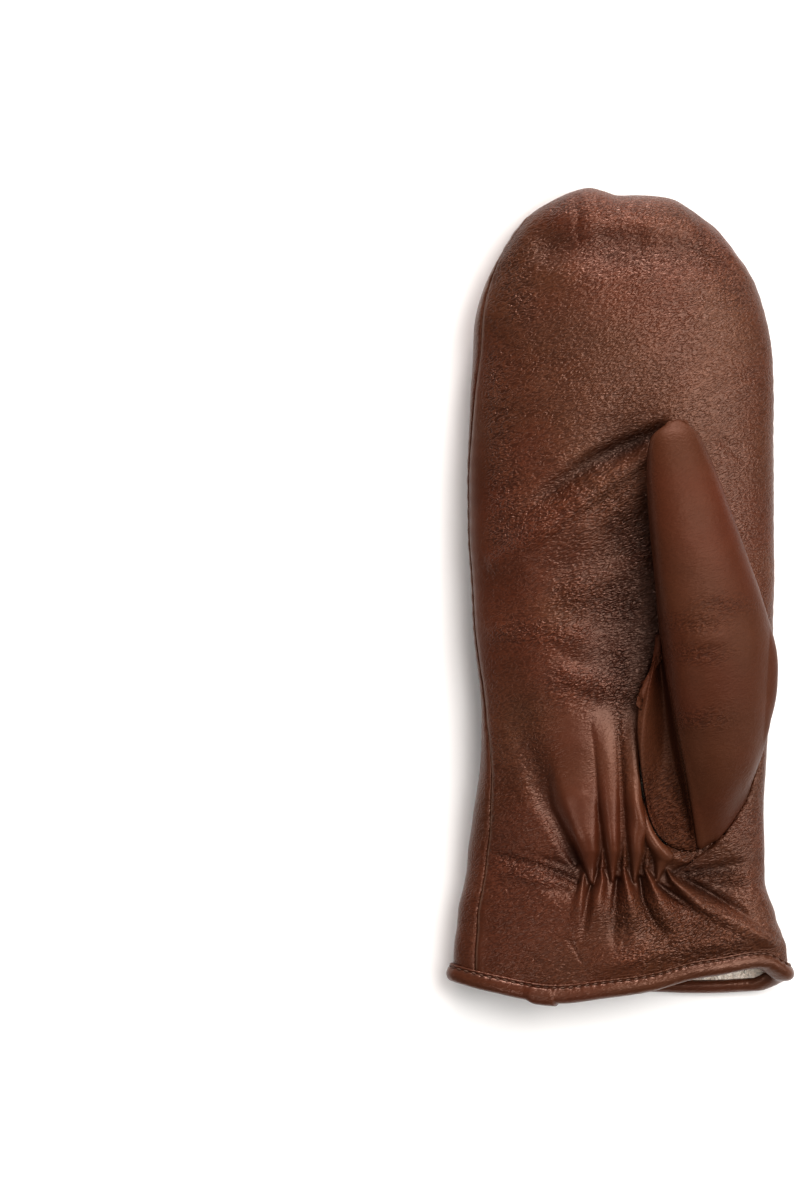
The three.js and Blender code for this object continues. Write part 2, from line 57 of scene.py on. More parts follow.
Array = np.ndarray
Span = tuple[float, float]
Triple = tuple[float, float, float]
Color = Triple
Socket = bpy.types.NodeSocket


class Form(Enum):
    """The cross-section of a fold."""

    TUBE = "round tube with steep sides"
    RIDGE = "soft ridge or valley"
    CREASE = "sharp line"


class Side(Enum):
    """Which way a panel of the hand or thumb faces."""

    UP = 1
    DOWN = -1


@dataclass(frozen=True)
class EdgeRow:
    """One station of the hand's side edges, as shares of the named sizes."""

    along: float
    left: float
    right: float
    flare: float
    depth: float


@dataclass(frozen=True)
class OutlineRow:
    """One place on an outline, as shares of half the palm width and of the length."""

    across: float
    along: float


@dataclass(frozen=True)
class HemRow:
    """How far the hem lies above its lowest point, as shares of the hem's wave."""

    across: float
    palm: float
    back: float


@dataclass(frozen=True)
class WrapRow:
    """Where each side seam lies, as a share of a quarter turn of the section."""

    along: float
    left: float
    right: float


@dataclass(frozen=True)
class ThumbRow:
    """One section of the thumb: guide points (across, along, lift) as shares."""

    left: Triple
    right: Triple
    outer: Triple
    inner: Triple


@dataclass(frozen=True)
class SlackPatch:
    """A patch where the leather is slack, so that its grain draws up into wrinkles.

    Args:
        name: Where it is.
        start: Its first end, as shares of half the palm width and of the length.
        end: Its other end.
        width: Its half-width, in millimetres.
        strength: How much stronger the grain is.
    """

    name: str
    start: Span
    end: Span
    width: float
    strength: float


@dataclass(frozen=True)
class Fold:
    """One fold of the palm.

    Args:
        name: What the fold is.
        start: Its first end, as shares of half the palm width and of the length.
        end: Its other end.
        widths: Half-widths at both ends, in millimetres.
        heights: Heights at both ends, in millimetres, below zero for a valley.
        form: Its cross-section.
    """

    name: str
    start: Span
    end: Span
    widths: Span
    heights: Span
    form: Form


SIDES = (
    EdgeRow(0.016, -0.998, 0.998, 1.0, 0.76),
    EdgeRow(0.053, -1.011, 1.005, 0.8, 0.78),
    EdgeRow(0.077, -1.022, 0.989, 0.5, 0.8),
    EdgeRow(0.102, -1.029, 0.97, 0.3, 0.82),
    EdgeRow(0.126, -1.016, 0.944, 0.1, 0.83),
    EdgeRow(0.151, -1.0, 0.948, 0, 0.82),
    EdgeRow(0.175, -0.993, 0.948, 0, 0.82),
    EdgeRow(0.224, -0.961, 0.941, 0, 0.88),
    EdgeRow(0.273, -0.922, 0.954, 0, 0.94),
    EdgeRow(0.322, -0.909, 0.967, 0, 0.98),
    EdgeRow(0.371, -0.915, 0.98, 0, 1.0),
    EdgeRow(0.42, -0.948, 0.993, 0, 1.0),
    EdgeRow(0.493, -0.974, 1.007, 0, 1.0),
    EdgeRow(0.591, -1.0, 1.007, 0, 1.0),
    EdgeRow(0.689, -0.993, 1.0, 0, 0.99),
    EdgeRow(0.787, -0.967, 1.0, 0, 0.95),
    EdgeRow(0.836, -0.948, 0.961, 0, 0.93),
    EdgeRow(0.885, -0.876, 0.876, 0, 0.9),
    EdgeRow(0.934, -0.739, 0.7, 0, 0.83),
)

FINGERTIPS = (
    OutlineRow(-1.0, 0.934),
    OutlineRow(-0.891, 0.955),
    OutlineRow(-0.756, 0.972),
    OutlineRow(-0.602, 0.983),
    OutlineRow(-0.439, 0.994),
    OutlineRow(-0.258, 1.0),
    OutlineRow(-0.131, 0.996),
    OutlineRow(-0.014, 0.991),
    OutlineRow(0.195, 0.991),
    OutlineRow(0.394, 0.989),
    OutlineRow(0.538, 0.984),
    OutlineRow(0.665, 0.973),
    OutlineRow(0.792, 0.961),
    OutlineRow(0.9, 0.949),
    OutlineRow(1.0, 0.934),
)

HEM = (
    HemRow(-1.0, 0.55, 0.55),
    HemRow(-0.78, 0.3, 0.3),
    HemRow(-0.41, 0.0, 0.05),
    HemRow(-0.09, 0.15, 0.08),
    HemRow(0.18, 0.34, 0.2),
    HemRow(0.4, 0.63, 0.17),
    HemRow(0.6, 0.78, 0.17),
    HemRow(0.8, 0.94, 0.22),
    HemRow(0.92, 0.84, 0.3),
    HemRow(1.0, 0.6, 0.5),
)

SEAM_WRAP = (
    WrapRow(0, 0.33, 0.0),
    WrapRow(0.14, 0.31, 0.0),
    WrapRow(0.2, 0.32, 0.0),
    WrapRow(0.27, 0.26, 0.0),
    WrapRow(0.31, 0.21, 0.0),
    WrapRow(0.35, 0.15, 0.0),
    WrapRow(0.42, 0.1, 0.0),
    WrapRow(0.5, 0.07, 0.0),
    WrapRow(0.66, 0.06, 0.0),
    WrapRow(0.78, 0.13, 0.0),
    WrapRow(0.86, 0.2, 0.0),
    WrapRow(0.95, 0.19, 0.0),
    WrapRow(0.975, 0.21, 0.08),
    WrapRow(1, 0.42, 0.32),
)

THUMB = (
    ThumbRow((0.498, 0.191, 0), (0.9, 0.403, 0), (0.795, 0.266, 0), (0.125, 0.371, 0)),
    ThumbRow((0.407, 0.275, 0.32), (0.95, 0.43, 0.25), (0.83, 0.307, 0.5), (0.15, 0.4, 0.12)),
    ThumbRow((0.316, 0.361, 0.42), (0.97, 0.438, 0.4), (0.76, 0.364, 0.8), (0.3, 0.43, 0.1)),
    ThumbRow((0.244, 0.444, 0.45), (0.941, 0.463, 0.45), (0.655, 0.444, 1), (0.511, 0.47, 0.03)),
    ThumbRow((0.199, 0.518, 0.45), (0.837, 0.524, 0.45), (0.524, 0.53, 1), (0.511, 0.53, 0)),
    ThumbRow((0.16, 0.591, 0.45), (0.694, 0.597, 0.45), (0.44, 0.601, 0.95), (0.433, 0.601, 0)),
    ThumbRow((0.147, 0.652, 0.46), (0.564, 0.659, 0.46), (0.368, 0.659, 0.85), (0.362, 0.659, 0)),
    ThumbRow((0.175, 0.689, 0.48), (0.48, 0.692, 0.48), (0.329, 0.694, 0.7), (0.329, 0.692, 0.15)),
    ThumbRow((0.27, 0.7, 0.5), (0.4, 0.701, 0.5), (0.345, 0.713, 0.5), (0.345, 0.713, 0.5)),
)

RIM = (
    OutlineRow(0.498, 0.188),
    OutlineRow(0.374, 0.1885),
    OutlineRow(0.298, 0.1955),
    OutlineRow(0.2365, 0.2067),
    OutlineRow(0.183, 0.224),
    OutlineRow(0.153, 0.243),
    OutlineRow(0.135, 0.27),
    OutlineRow(0.13, 0.31),
    OutlineRow(0.137, 0.35),
    OutlineRow(0.16, 0.385),
    OutlineRow(0.21, 0.412),
    OutlineRow(0.3, 0.427),
    OutlineRow(0.43, 0.433),
    OutlineRow(0.6, 0.437),
    OutlineRow(0.78, 0.428),
    OutlineRow(0.89, 0.403),
    OutlineRow(0.91, 0.365),
    OutlineRow(0.9, 0.32),
    OutlineRow(0.855, 0.273),
    OutlineRow(0.76, 0.234),
    OutlineRow(0.62, 0.2),
)

SLACK = (
    SlackPatch("below the ridge", (-0.75, 0.575), (-0.05, 0.635), 9.0, 0.8),
    SlackPatch("right of the ridge", (-0.05, 0.6), (0.12, 0.55), 8.0, 0.7),
    SlackPatch("palm middle", (-0.35, 0.5), (0.02, 0.49), 9.0, 0.8),
    SlackPatch("palm band", (-0.75, 0.455), (-0.3, 0.452), 6.0, 0.7),
    SlackPatch("low palm", (-0.4, 0.395), (-0.1, 0.385), 7.0, 0.7),
    SlackPatch("beside the thumb", (-0.02, 0.43), (0.02, 0.27), 4.5, 0.9),
    SlackPatch("gather tops", (-0.14, 0.175), (0.18, 0.175), 3.5, 0.9),
    SlackPatch("lip of the hole", (0.15, 0.225), (0.42, 0.18), 4.0, 0.9),
    SlackPatch("fan", (0.02, 0.11), (0.55, 0.09), 10.0, 1.0),
    SlackPatch("low fan", (0.05, 0.06), (0.75, 0.075), 7.0, 0.9),
    SlackPatch("side fan", (0.45, 0.16), (0.8, 0.15), 4.0, 0.8),
    SlackPatch("wrist", (-0.75, 0.17), (-0.35, 0.155), 6.0, 0.6),
    SlackPatch("fingertips", (-0.45, 0.975), (0.5, 0.965), 4.5, 0.7),
    SlackPatch("left corner", (-0.75, 0.93), (-0.65, 0.85), 8.0, 0.6),
    SlackPatch("right corner", (0.55, 0.93), (0.75, 0.86), 7.0, 0.6),
    SlackPatch("left edge", (-0.85, 0.78), (-0.75, 0.6), 7.0, 0.5),
)


def folds(form: Form, *lines: tuple) -> list[Fold]:
    """Makes the folds of one form from a table of lines.

    Args:
        form: Their cross-section.
        lines: Each line's name and then its bends. A bend is a place across and along, as shares of half
            the palm width and of the length, with the half-width and the height there in millimetres.

    Returns:
        One fold for each stretch between two bends.
    """
    return [
        Fold(name, first[:2], last[:2], (first[2], last[2]), (first[3], last[3]), form)
        for name, *bends in lines
        for first, last in zip(bends, bends[1:])
    ]


TUBES = folds(
    Form.TUBE,
    ("wide", (-0.195, 0.147, 0.7, 1.4), (-0.225, 0.187, 3.8, 3.2), (-0.31, 0.248, 7.6, 2.4),
     (-0.32, 0.334, 8, 0)),
    ("second", (-0.062, 0.151, 0.6, 1.4), (-0.065, 0.187, 2.6, 3.4), (-0.09, 0.248, 3.6, 2.6),
     (-0.12, 0.353, 4.3, 0)),
    ("third", (0.081, 0.15, 0.6, 1.4), (0.091, 0.187, 2.6, 3.6), (0.075, 0.248, 3.2, 2.9),
     (0.055, 0.353, 3.8, 0)),
    ("fourth", (0.231, 0.151, 0.6, 1.4), (0.262, 0.18, 2.8, 3.2), (0.205, 0.208, 2.5, 2.2),
     (0.15, 0.24, 1.8, 1)),
)

CREASES = folds(
    Form.CREASE,
    ("side shadow", (0.43, 0.151, 2, -1.6), (0.67, 0.124, 2.6, -1.8), (1.05, 0.075, 2.6, -0.6)),
    ("fine crease", (-0.66, 0.069, 0.8, -0.4), (-0.51, 0.044, 0.8, -0.4)),
    ("fine crease", (-0.34, 0.077, 0.8, -0.4), (-0.27, 0.053, 0.8, -0.4)),
    ("fine crease", (-0.77, 0.273, 0.8, -0.3), (-0.66, 0.245, 0.8, -0.3)),
    ("thumb crease", (0.6, 0.196, 1.2, -1), (0.446, 0.174, 2.2, -2), (0.34, 0.16, 1.5, -1.2)),
)

RIDGES = folds(
    Form.RIDGE,
    ("pinch", (-0.127, 0.19, 0.5, 0.6), (-0.13, 0.168, 1.7, 1.6)),
    ("pinch", (0.018, 0.195, 0.5, 0.6), (0.016, 0.17, 1.8, 1.6)),
    ("pinch", (0.166, 0.19, 0.5, 0.6), (0.16, 0.168, 2, 1.6)),
    ("first pleat", (-0.25, 0.158, 0.8, 1.4), (-0.28, 0.12, 3, 1.4), (-0.3, 0.085, 4.5, 0.3)),
    ("pleat", (-0.135, 0.166, 0.6, 1.8), (-0.13, 0.152, 1.9, 3.4), (-0.16, 0.126, 4.2, 2.2),
     (-0.205, 0.09, 5.2, 0.4)),
    ("pleat", (0.01, 0.168, 0.6, 1.8), (0.023, 0.151, 2, 3.6), (0.052, 0.126, 4, 2.6),
     (0.078, 0.085, 5.4, 0.5)),
    ("pleat", (0.15, 0.165, 0.6, 1.8), (0.192, 0.148, 2.2, 3.6), (0.25, 0.124, 4.8, 2.6),
     (0.36, 0.088, 6.6, 0.5)),
    ("last pleat", (0.293, 0.163, 0.7, 1.8), (0.329, 0.151, 2, 3), (0.524, 0.12, 4.2, 2.2),
     (0.98, 0.08, 5.3, 1)),
    ("cleft", (-0.2, 0.145, 1.4, -1.4), (-0.225, 0.12, 2.2, -1.2), (-0.26, 0.083, 2.4, -0.2)),
    ("cleft", (-0.03, 0.152, 1.4, -1.8), (-0.045, 0.125, 2.2, -1.6), (-0.055, 0.075, 2.6, -0.3)),
    ("cleft", (0.12, 0.154, 1.3, -1.8), (0.137, 0.126, 1.8, -1.8), (0.186, 0.106, 2, -1.2),
     (0.31, 0.08, 2.2, -0.2)),
    ("cleft", (0.228, 0.146, 1.2, -1.6), (0.306, 0.136, 1.8, -1.8), (0.55, 0.105, 2.2, -0.4)),
    ("side fan", (0.41, 0.158, 2.2, -1.1), (0.93, 0.175, 4, -0.4)),
    ("side fan", (0.45, 0.15, 2, 0.7), (0.93, 0.155, 3.2, 0.3)),
    ("wrist crease", (-0.81, 0.181, 2, -0.4), (-0.53, 0.169, 2.2, -0.6), (-0.3, 0.148, 2, -1)),
    ("wrist crease", (-0.66, 0.187, 1.8, -0.3), (-0.28, 0.163, 1.8, -0.7)),
    ("wrist ridge", (-0.79, 0.16, 4, 0.5), (-0.34, 0.146, 3, 0.8)),
    ("broad valley", (-0.68, 0.352, 7.5, -0.5), (-0.487, 0.2485, 6.5, -1.9), (-0.3, 0.172, 2.8, -2)),
    ("diagonal valley", (0.24, 0.699, 4.5, -1.9), (-0.21, 0.661, 5, -2.2)),
    ("diagonal valley", (-0.21, 0.661, 5, -2.4), (-0.45, 0.627, 5, -1.9), (-0.78, 0.585, 4.5, -0.4)),
    ("diagonal ridge", (0.17, 0.668, 6.5, 2.8), (-0.27, 0.612, 7.5, 3.4)),
    ("diagonal ridge", (-0.27, 0.612, 7.5, 3.6), (-0.53, 0.575, 7.5, 3.3), (-0.8, 0.54, 6, 1.4)),
    ("ridge foot", (0.14, 0.642, 12, 2.2), (-0.3, 0.585, 13, 2.2), (-0.6, 0.545, 10, 0.8)),
    ("low band", (0.15, 0.545, 5.9, 0.9), (-0.32, 0.501, 5.9, 0.6)),
    ("tip pucker", (-0.29, 0.99, 2.4, -0.6), (-0.29, 0.935, 2, -0.15)),
    ("tip pucker", (-0.12, 0.98, 2.4, -0.5), (-0.1, 0.94, 2, -0.15)),
    ("tip pucker", (-0.42, 0.985, 2.2, -0.4), (-0.5, 0.95, 1.8, -0.1)),
    ("tip pucker", (0.12, 0.98, 2.2, -0.35), (0.12, 0.95, 1.8, -0.1)),
    ("tip hollow", (-0.1, 0.939, 5.9, -0.6), (0.09, 0.939, 5.9, -0.6)),
    ("tip crease", (0.5, 0.963, 1.6, -0.45), (0.55, 0.934, 1.6, -0.3)),
    ("tip crease", (0.55, 0.892, 1.8, -0.45), (0.71, 0.912, 1.6, -0.3)),
    ("knuckle crease", (0.6, 0.747, 2.2, -0.4), (0.88, 0.772, 1.8, -0.25)),
    ("knuckle crease", (0.65, 0.689, 2.6, -0.5), (0.79, 0.662, 2.2, -0.25)),
    ("edge crease", (-0.87, 0.729, 1.6, -0.4), (-0.67, 0.722, 1.6, -0.25)),
    ("edge crease", (-0.8, 0.627, 1.6, -0.4), (-0.61, 0.633, 1.6, -0.25)),
    ("corner crease", (-0.85, 0.824, 1.6, -0.45), (-0.7, 0.796, 1.4, -0.3)),
)

FOLDS = TUBES + CREASES + RIDGES

BROAD_FORMS = folds(
    Form.RIDGE,
    ("palm dish", (0.06, 0.66, 27, -2.2), (0.1, 0.4, 30, -3.6)),
    ("palm swell", (-0.62, 0.6, 13, 1), (-0.55, 0.4, 14, 1.2)),
    ("palm band", (-0.78, 0.455, 7, 0.9), (-0.28, 0.444, 8, 1)),
    ("palm band", (-0.37, 0.402, 6, 1), (-0.1, 0.388, 6, 0.9)),
    ("cuff swell", (-0.05, 0.045, 14, 2), (0.85, 0.07, 14, 2.2)),
    ("gather dip", (-0.32, 0.162, 13, -2.2), (0.6, 0.15, 15, -2.6)),
    ("tip hollow", (-0.45, 0.925, 11, -1.5), (0.5, 0.917, 11, -1.4)),
)

THUMB_CREASES = folds(
    Form.CREASE,
    ("bend crease", (0.36, 0.466, 1.1, -0.2), (0.57, 0.466, 1, -0.15)),
    ("bend crease", (0.58, 0.487, 1, -0.22), (0.67, 0.489, 0.8, -0.15)),
    ("bend crease", (0.38, 0.428, 1.1, -0.25), (0.57, 0.429, 1, -0.2)),
    ("bend crease", (0.4, 0.349, 1.1, -0.2), (0.58, 0.35, 1, -0.15)),
)

THUMB_FOLDS = THUMB_CREASES + folds(Form.RIDGE, ("soft swell", (0.4, 0.447, 4, 0.4), (0.62, 0.447, 4, 0.4)))


def column(rows: Sequence, name: str) -> Array:
    """Returns one named column of a table as an array."""
    return np.array([getattr(row, name) for row in rows], dtype=float)


def read_column(rows: Sequence, key: str, name: str, at: Array) -> Array:
    """Reads a smooth curve through one column of a table.

    Args:
        rows: The table.
        key: The column that the curve runs along.
        name: The column that is read.
        at: Where to read it.

    Returns:
        The curve's values.
    """
    return smooth_curve(column(rows, key), column(rows, name), at)


def smooth_curve(places: Array, values: Array, at: Array) -> Array:
    """Reads a cubic curve through given values, with flat extension past both ends.

    Args:
        places: Where the values are, in order.
        values: What the curve passes through.
        at: Where to read it.

    Returns:
        The curve's values.
    """
    slopes = np.empty_like(values)
    slopes[1:-1] = (values[2:] - values[:-2]) / (places[2:] - places[:-2])
    slopes[0] = (values[1] - values[0]) / (places[1] - places[0])
    slopes[-1] = (values[-1] - values[-2]) / (places[-1] - places[-2])
    at = np.clip(at, places[0], places[-1])
    row = np.clip(np.searchsorted(places, at, side="left") - 1, 0, len(places) - 2)
    step = places[row + 1] - places[row]
    share = (at - places[row]) / step
    square, cube = share**2, share**3
    return (
        (2 * cube - 3 * square + 1) * values[row]
        + (cube - 2 * square + share) * slopes[row] * step
        + (3 * square - 2 * cube) * values[row + 1]
        + (cube - square) * slopes[row + 1] * step
    )


def smoothstep(value: Array, low: float, high: float) -> Array:
    """Rises smoothly from 0 at low to 1 at high."""
    share = np.clip((value - low) / (high - low), 0, 1)
    return share * share * (3 - 2 * share)


def mix(first: Array, second: Array, share: Array) -> Array:
    """Returns the value at a share of the way from first to second."""
    return first + (second - first) * share


def fold_section(form: Form, distance: Array, width: Array) -> Array:
    """Reads a fold's cross-section.

    Args:
        form: Its kind.
        distance: How far each point lies from the fold's line.
        width: The fold's half-width there.

    Returns:
        The height there, from 0 beside the fold to 1 on its line.
    """
    share = np.clip(distance / width, 0, 1)
    if form is Form.TUBE:
        return (1 - share**2) ** 0.6
    if form is Form.CREASE:
        return (1 - share) ** 1.5
    return np.cos(share * math.pi / 2) ** 2


def uneven(count: int, zone: Span, extra: float, blend: float = 0.05, samples: int = 2001) -> Array:
    """Spreads places from 0 to 1, closer together inside a zone.

    Args:
        count: How many places.
        zone: Where the zone starts and ends.
        extra: How much denser the places are in the zone.
        blend: How far outside the zone the density changes.
        samples: How finely the density is added up.

    Returns:
        The places, in order.
    """
    at = np.linspace(0, 1, samples)
    entered, left = smoothstep(at, zone[0] - blend, zone[0]), smoothstep(at, zone[1], zone[1] + blend)
    density = 1 + extra * entered * (1 - left)
    run = np.concatenate([[0], np.cumsum((density[1:] + density[:-1]) / 2)])
    return np.interp(np.linspace(0, run[-1], count), run, at)


@dataclass(frozen=True)
class HandSkin:
    """The skin of the hand, as the solids have it, with finer folds.

    Args:
        length: From the hem to the fingertips.
        palm_width: Over the palm, without its small ins and outs.
        hand_depth: Height where the hand is fullest.
        tip_round: Over what length the section closes towards the fingertips.
        cuff_flare: How far the hem stands out on each side.
        hem_wave: How far the hem's ends lie above its lowest point.
        hem_lift: How far the leather's hem lies off the floor and inside the binding.
        binding_height: How much of the hem the binding covers.
        fullness: How round the section is: lower is boxier.
        edge_height: Where the widest line lies, as a share of the height.
        back_drop: How strongly the back is flattened on the floor.
        hem_settle: Where the leather has come down to the floor, as a share of the rise.
        hem_smooth: Where the folds fade in above the hem, as shares of the rise.
        lookup_steps: How often a place in plan is corrected when its height is looked up.
    """

    length: float = 270 * MM
    palm_width: float = 101.5 * MM
    hand_depth: float = 30 * MM
    tip_round: float = 17 * MM
    cuff_flare: float = 5 * MM
    hem_wave: float = 12 * MM
    hem_lift: float = 1.9 * MM
    binding_height: float = 6.5 * MM
    fullness: float = 0.72
    edge_height: float = 0.42
    back_drop: float = 1.25
    hem_settle: float = 0.12
    hem_smooth: Span = (0.012, 0.04)
    lookup_steps: int = 8

    @property
    def half(self) -> float:
        """Half the palm's width."""
        return self.palm_width / 2

    @property
    def hem_along(self) -> float:
        """Where the side edges start, as a share of the length."""
        return SIDES[0].along

    @property
    def corner_along(self) -> float:
        """Where the rounded fingertips start, as a share of the length."""
        return SIDES[-1].along

    def place(self, across: float, along: float) -> Span:
        """Turns shares of the hand into a place in plan."""
        return across * self.half, (along - 0.5) * self.length

    def plan(self, across: Array, rise: Array, inset: Array, palm: Array) -> tuple:
        """Maps the hand's own coordinates to a place in plan.

        Args:
            across: From -1 at the left edge to 1 at the right one.
            rise: From 0 at the hem to 1 at the fingertips.
            inset: How far the outline is drawn in.
            palm: 1 on the palm's side of the hem, 0 on the back's.

        Returns:
            The x and y coordinates.
        """
        along = mix(self.hem_along, self.corner_along, rise)
        flare = read_column(SIDES, "along", "flare", along) * self.cuff_flare - inset
        left = read_column(SIDES, "along", "left", along) * self.half - flare
        right = read_column(SIDES, "along", "right", along) * self.half + flare
        wave = mix(
            read_column(HEM, "across", "back", across), read_column(HEM, "across", "palm", across), palm
        )
        hem = -self.length / 2 + wave * self.hem_wave + self.hem_lift
        tip = (read_column(FINGERTIPS, "across", "along", across) - 0.5) * self.length - inset
        return mix(left, right, (across + 1) / 2), mix(hem, tip, rise)

    def closing(self, rise: Array, inset: Array) -> Array:
        """The rounding that closes the section towards the fingertips.

        Args:
            rise: From 0 at the hem to 1 at the fingertips.
            inset: How far the skin is drawn inwards.

        Returns:
            The section's height, from 1 down to 0 at the tip.
        """
        distance = (1 - rise) * (self.corner_along - self.hem_along) * self.length
        reach = np.clip(1 - distance / (self.tip_round - inset), 0, 1)
        return np.sqrt(1 - reach**2)

    def fold_height(self, x: Array, y: Array, folds: Sequence[Fold] = FOLDS) -> Array:
        """Adds up the highest ridge and the deepest valley over each place in plan.

        Args:
            x: The places' distance across.
            y: Their distance along.
            folds: The folds that are read.

        Returns:
            The height that the folds add.
        """
        ridge, valley = np.zeros_like(x), np.zeros_like(x)
        for fold in folds:
            x0, y0 = self.place(*fold.start)
            x1, y1 = self.place(*fold.end)
            run = (x1 - x0) ** 2 + (y1 - y0) ** 2
            share = np.clip(((x - x0) * (x1 - x0) + (y - y0) * (y1 - y0)) / run, 0, 1)
            distance = np.hypot(x - x0 - share * (x1 - x0), y - y0 - share * (y1 - y0))
            width = mix(fold.widths[0], fold.widths[1], share) * MM
            height = mix(fold.heights[0], fold.heights[1], share) * MM
            height = height * fold_section(fold.form, distance, width)
            ridge, valley = np.maximum(ridge, height), np.minimum(valley, height)
        return ridge + valley

    def point(
        self, turn: Array, rise: Array, inset: Array | float = 0.0, folds: bool = False
    ) -> Array:
        """Places points on the skin.

        Args:
            turn: Round the section: 0 is the right edge, a quarter the palm, a half the left edge.
            rise: From 0 at the hem to 1 at the fingertips.
            inset: How far the skin is drawn inwards.
            folds: Whether the palm is folded.

        Returns:
            An array of points, with x, y and z last.
        """
        turn, rise, inset = np.broadcast_arrays(turn, rise, np.asarray(inset, dtype=float))
        across, up = np.cos(turn * 2 * math.pi), np.sin(turn * 2 * math.pi)
        x, y = self.plan(across, rise, inset, np.clip(0.5 + up, 0, 1))
        along = np.minimum(mix(self.hem_along, 1, rise), self.corner_along)
        closing = self.closing(rise, inset)
        start = self.binding_height / self.length
        lift = self.hem_lift * (1 - smoothstep(rise, start, self.hem_settle))
        top = read_column(SIDES, "along", "depth", along) * self.hand_depth
        edge = lift + (top - lift) * self.edge_height
        swell = np.abs(up) ** self.fullness * closing
        above = edge + (top - edge - inset) * swell
        if folds:
            fade = np.minimum(1, 2 * swell) * closing * smoothstep(rise, *self.hem_smooth)
            above = above + (self.fold_height(x, y) + self.fold_height(x, y, BROAD_FORMS)) * fade
        below = edge - ((edge - lift) * self.back_drop - inset) * swell
        z = np.maximum(np.where(up >= 0, above, below), lift + inset)
        return np.stack([x, y, z], axis=-1)

    def palm_height(self, x: Array, y: Array, folds: bool) -> Array:
        """Finds the height of the palm's skin above places in plan.

        Args:
            x: The places' distance across.
            y: Their distance along.
            folds: Whether the palm is folded.

        Returns:
            The heights.
        """
        across = np.clip(x / self.half, -1, 1)
        rise = np.clip((y / self.length + 0.5 - self.hem_along) / (1 - self.hem_along), 0, 1)
        for _ in range(self.lookup_steps):
            px, py = self.plan(across, rise, 0.0, 1.0)
            across = np.clip(across + (x - px) / self.half, -1, 1)
            rise = np.clip(rise + (y - py) / self.length, 0, 1)
        return self.point(np.arccos(across) / (2 * math.pi), rise, 0.0, folds)[..., 2]

    def seam_turn(self, side: str, rise: Array) -> Array:
        """Where a side seam lies round the section."""
        share = read_column(SEAM_WRAP, "along", side, rise) / 4
        return 0.5 - share if side == "left" else share


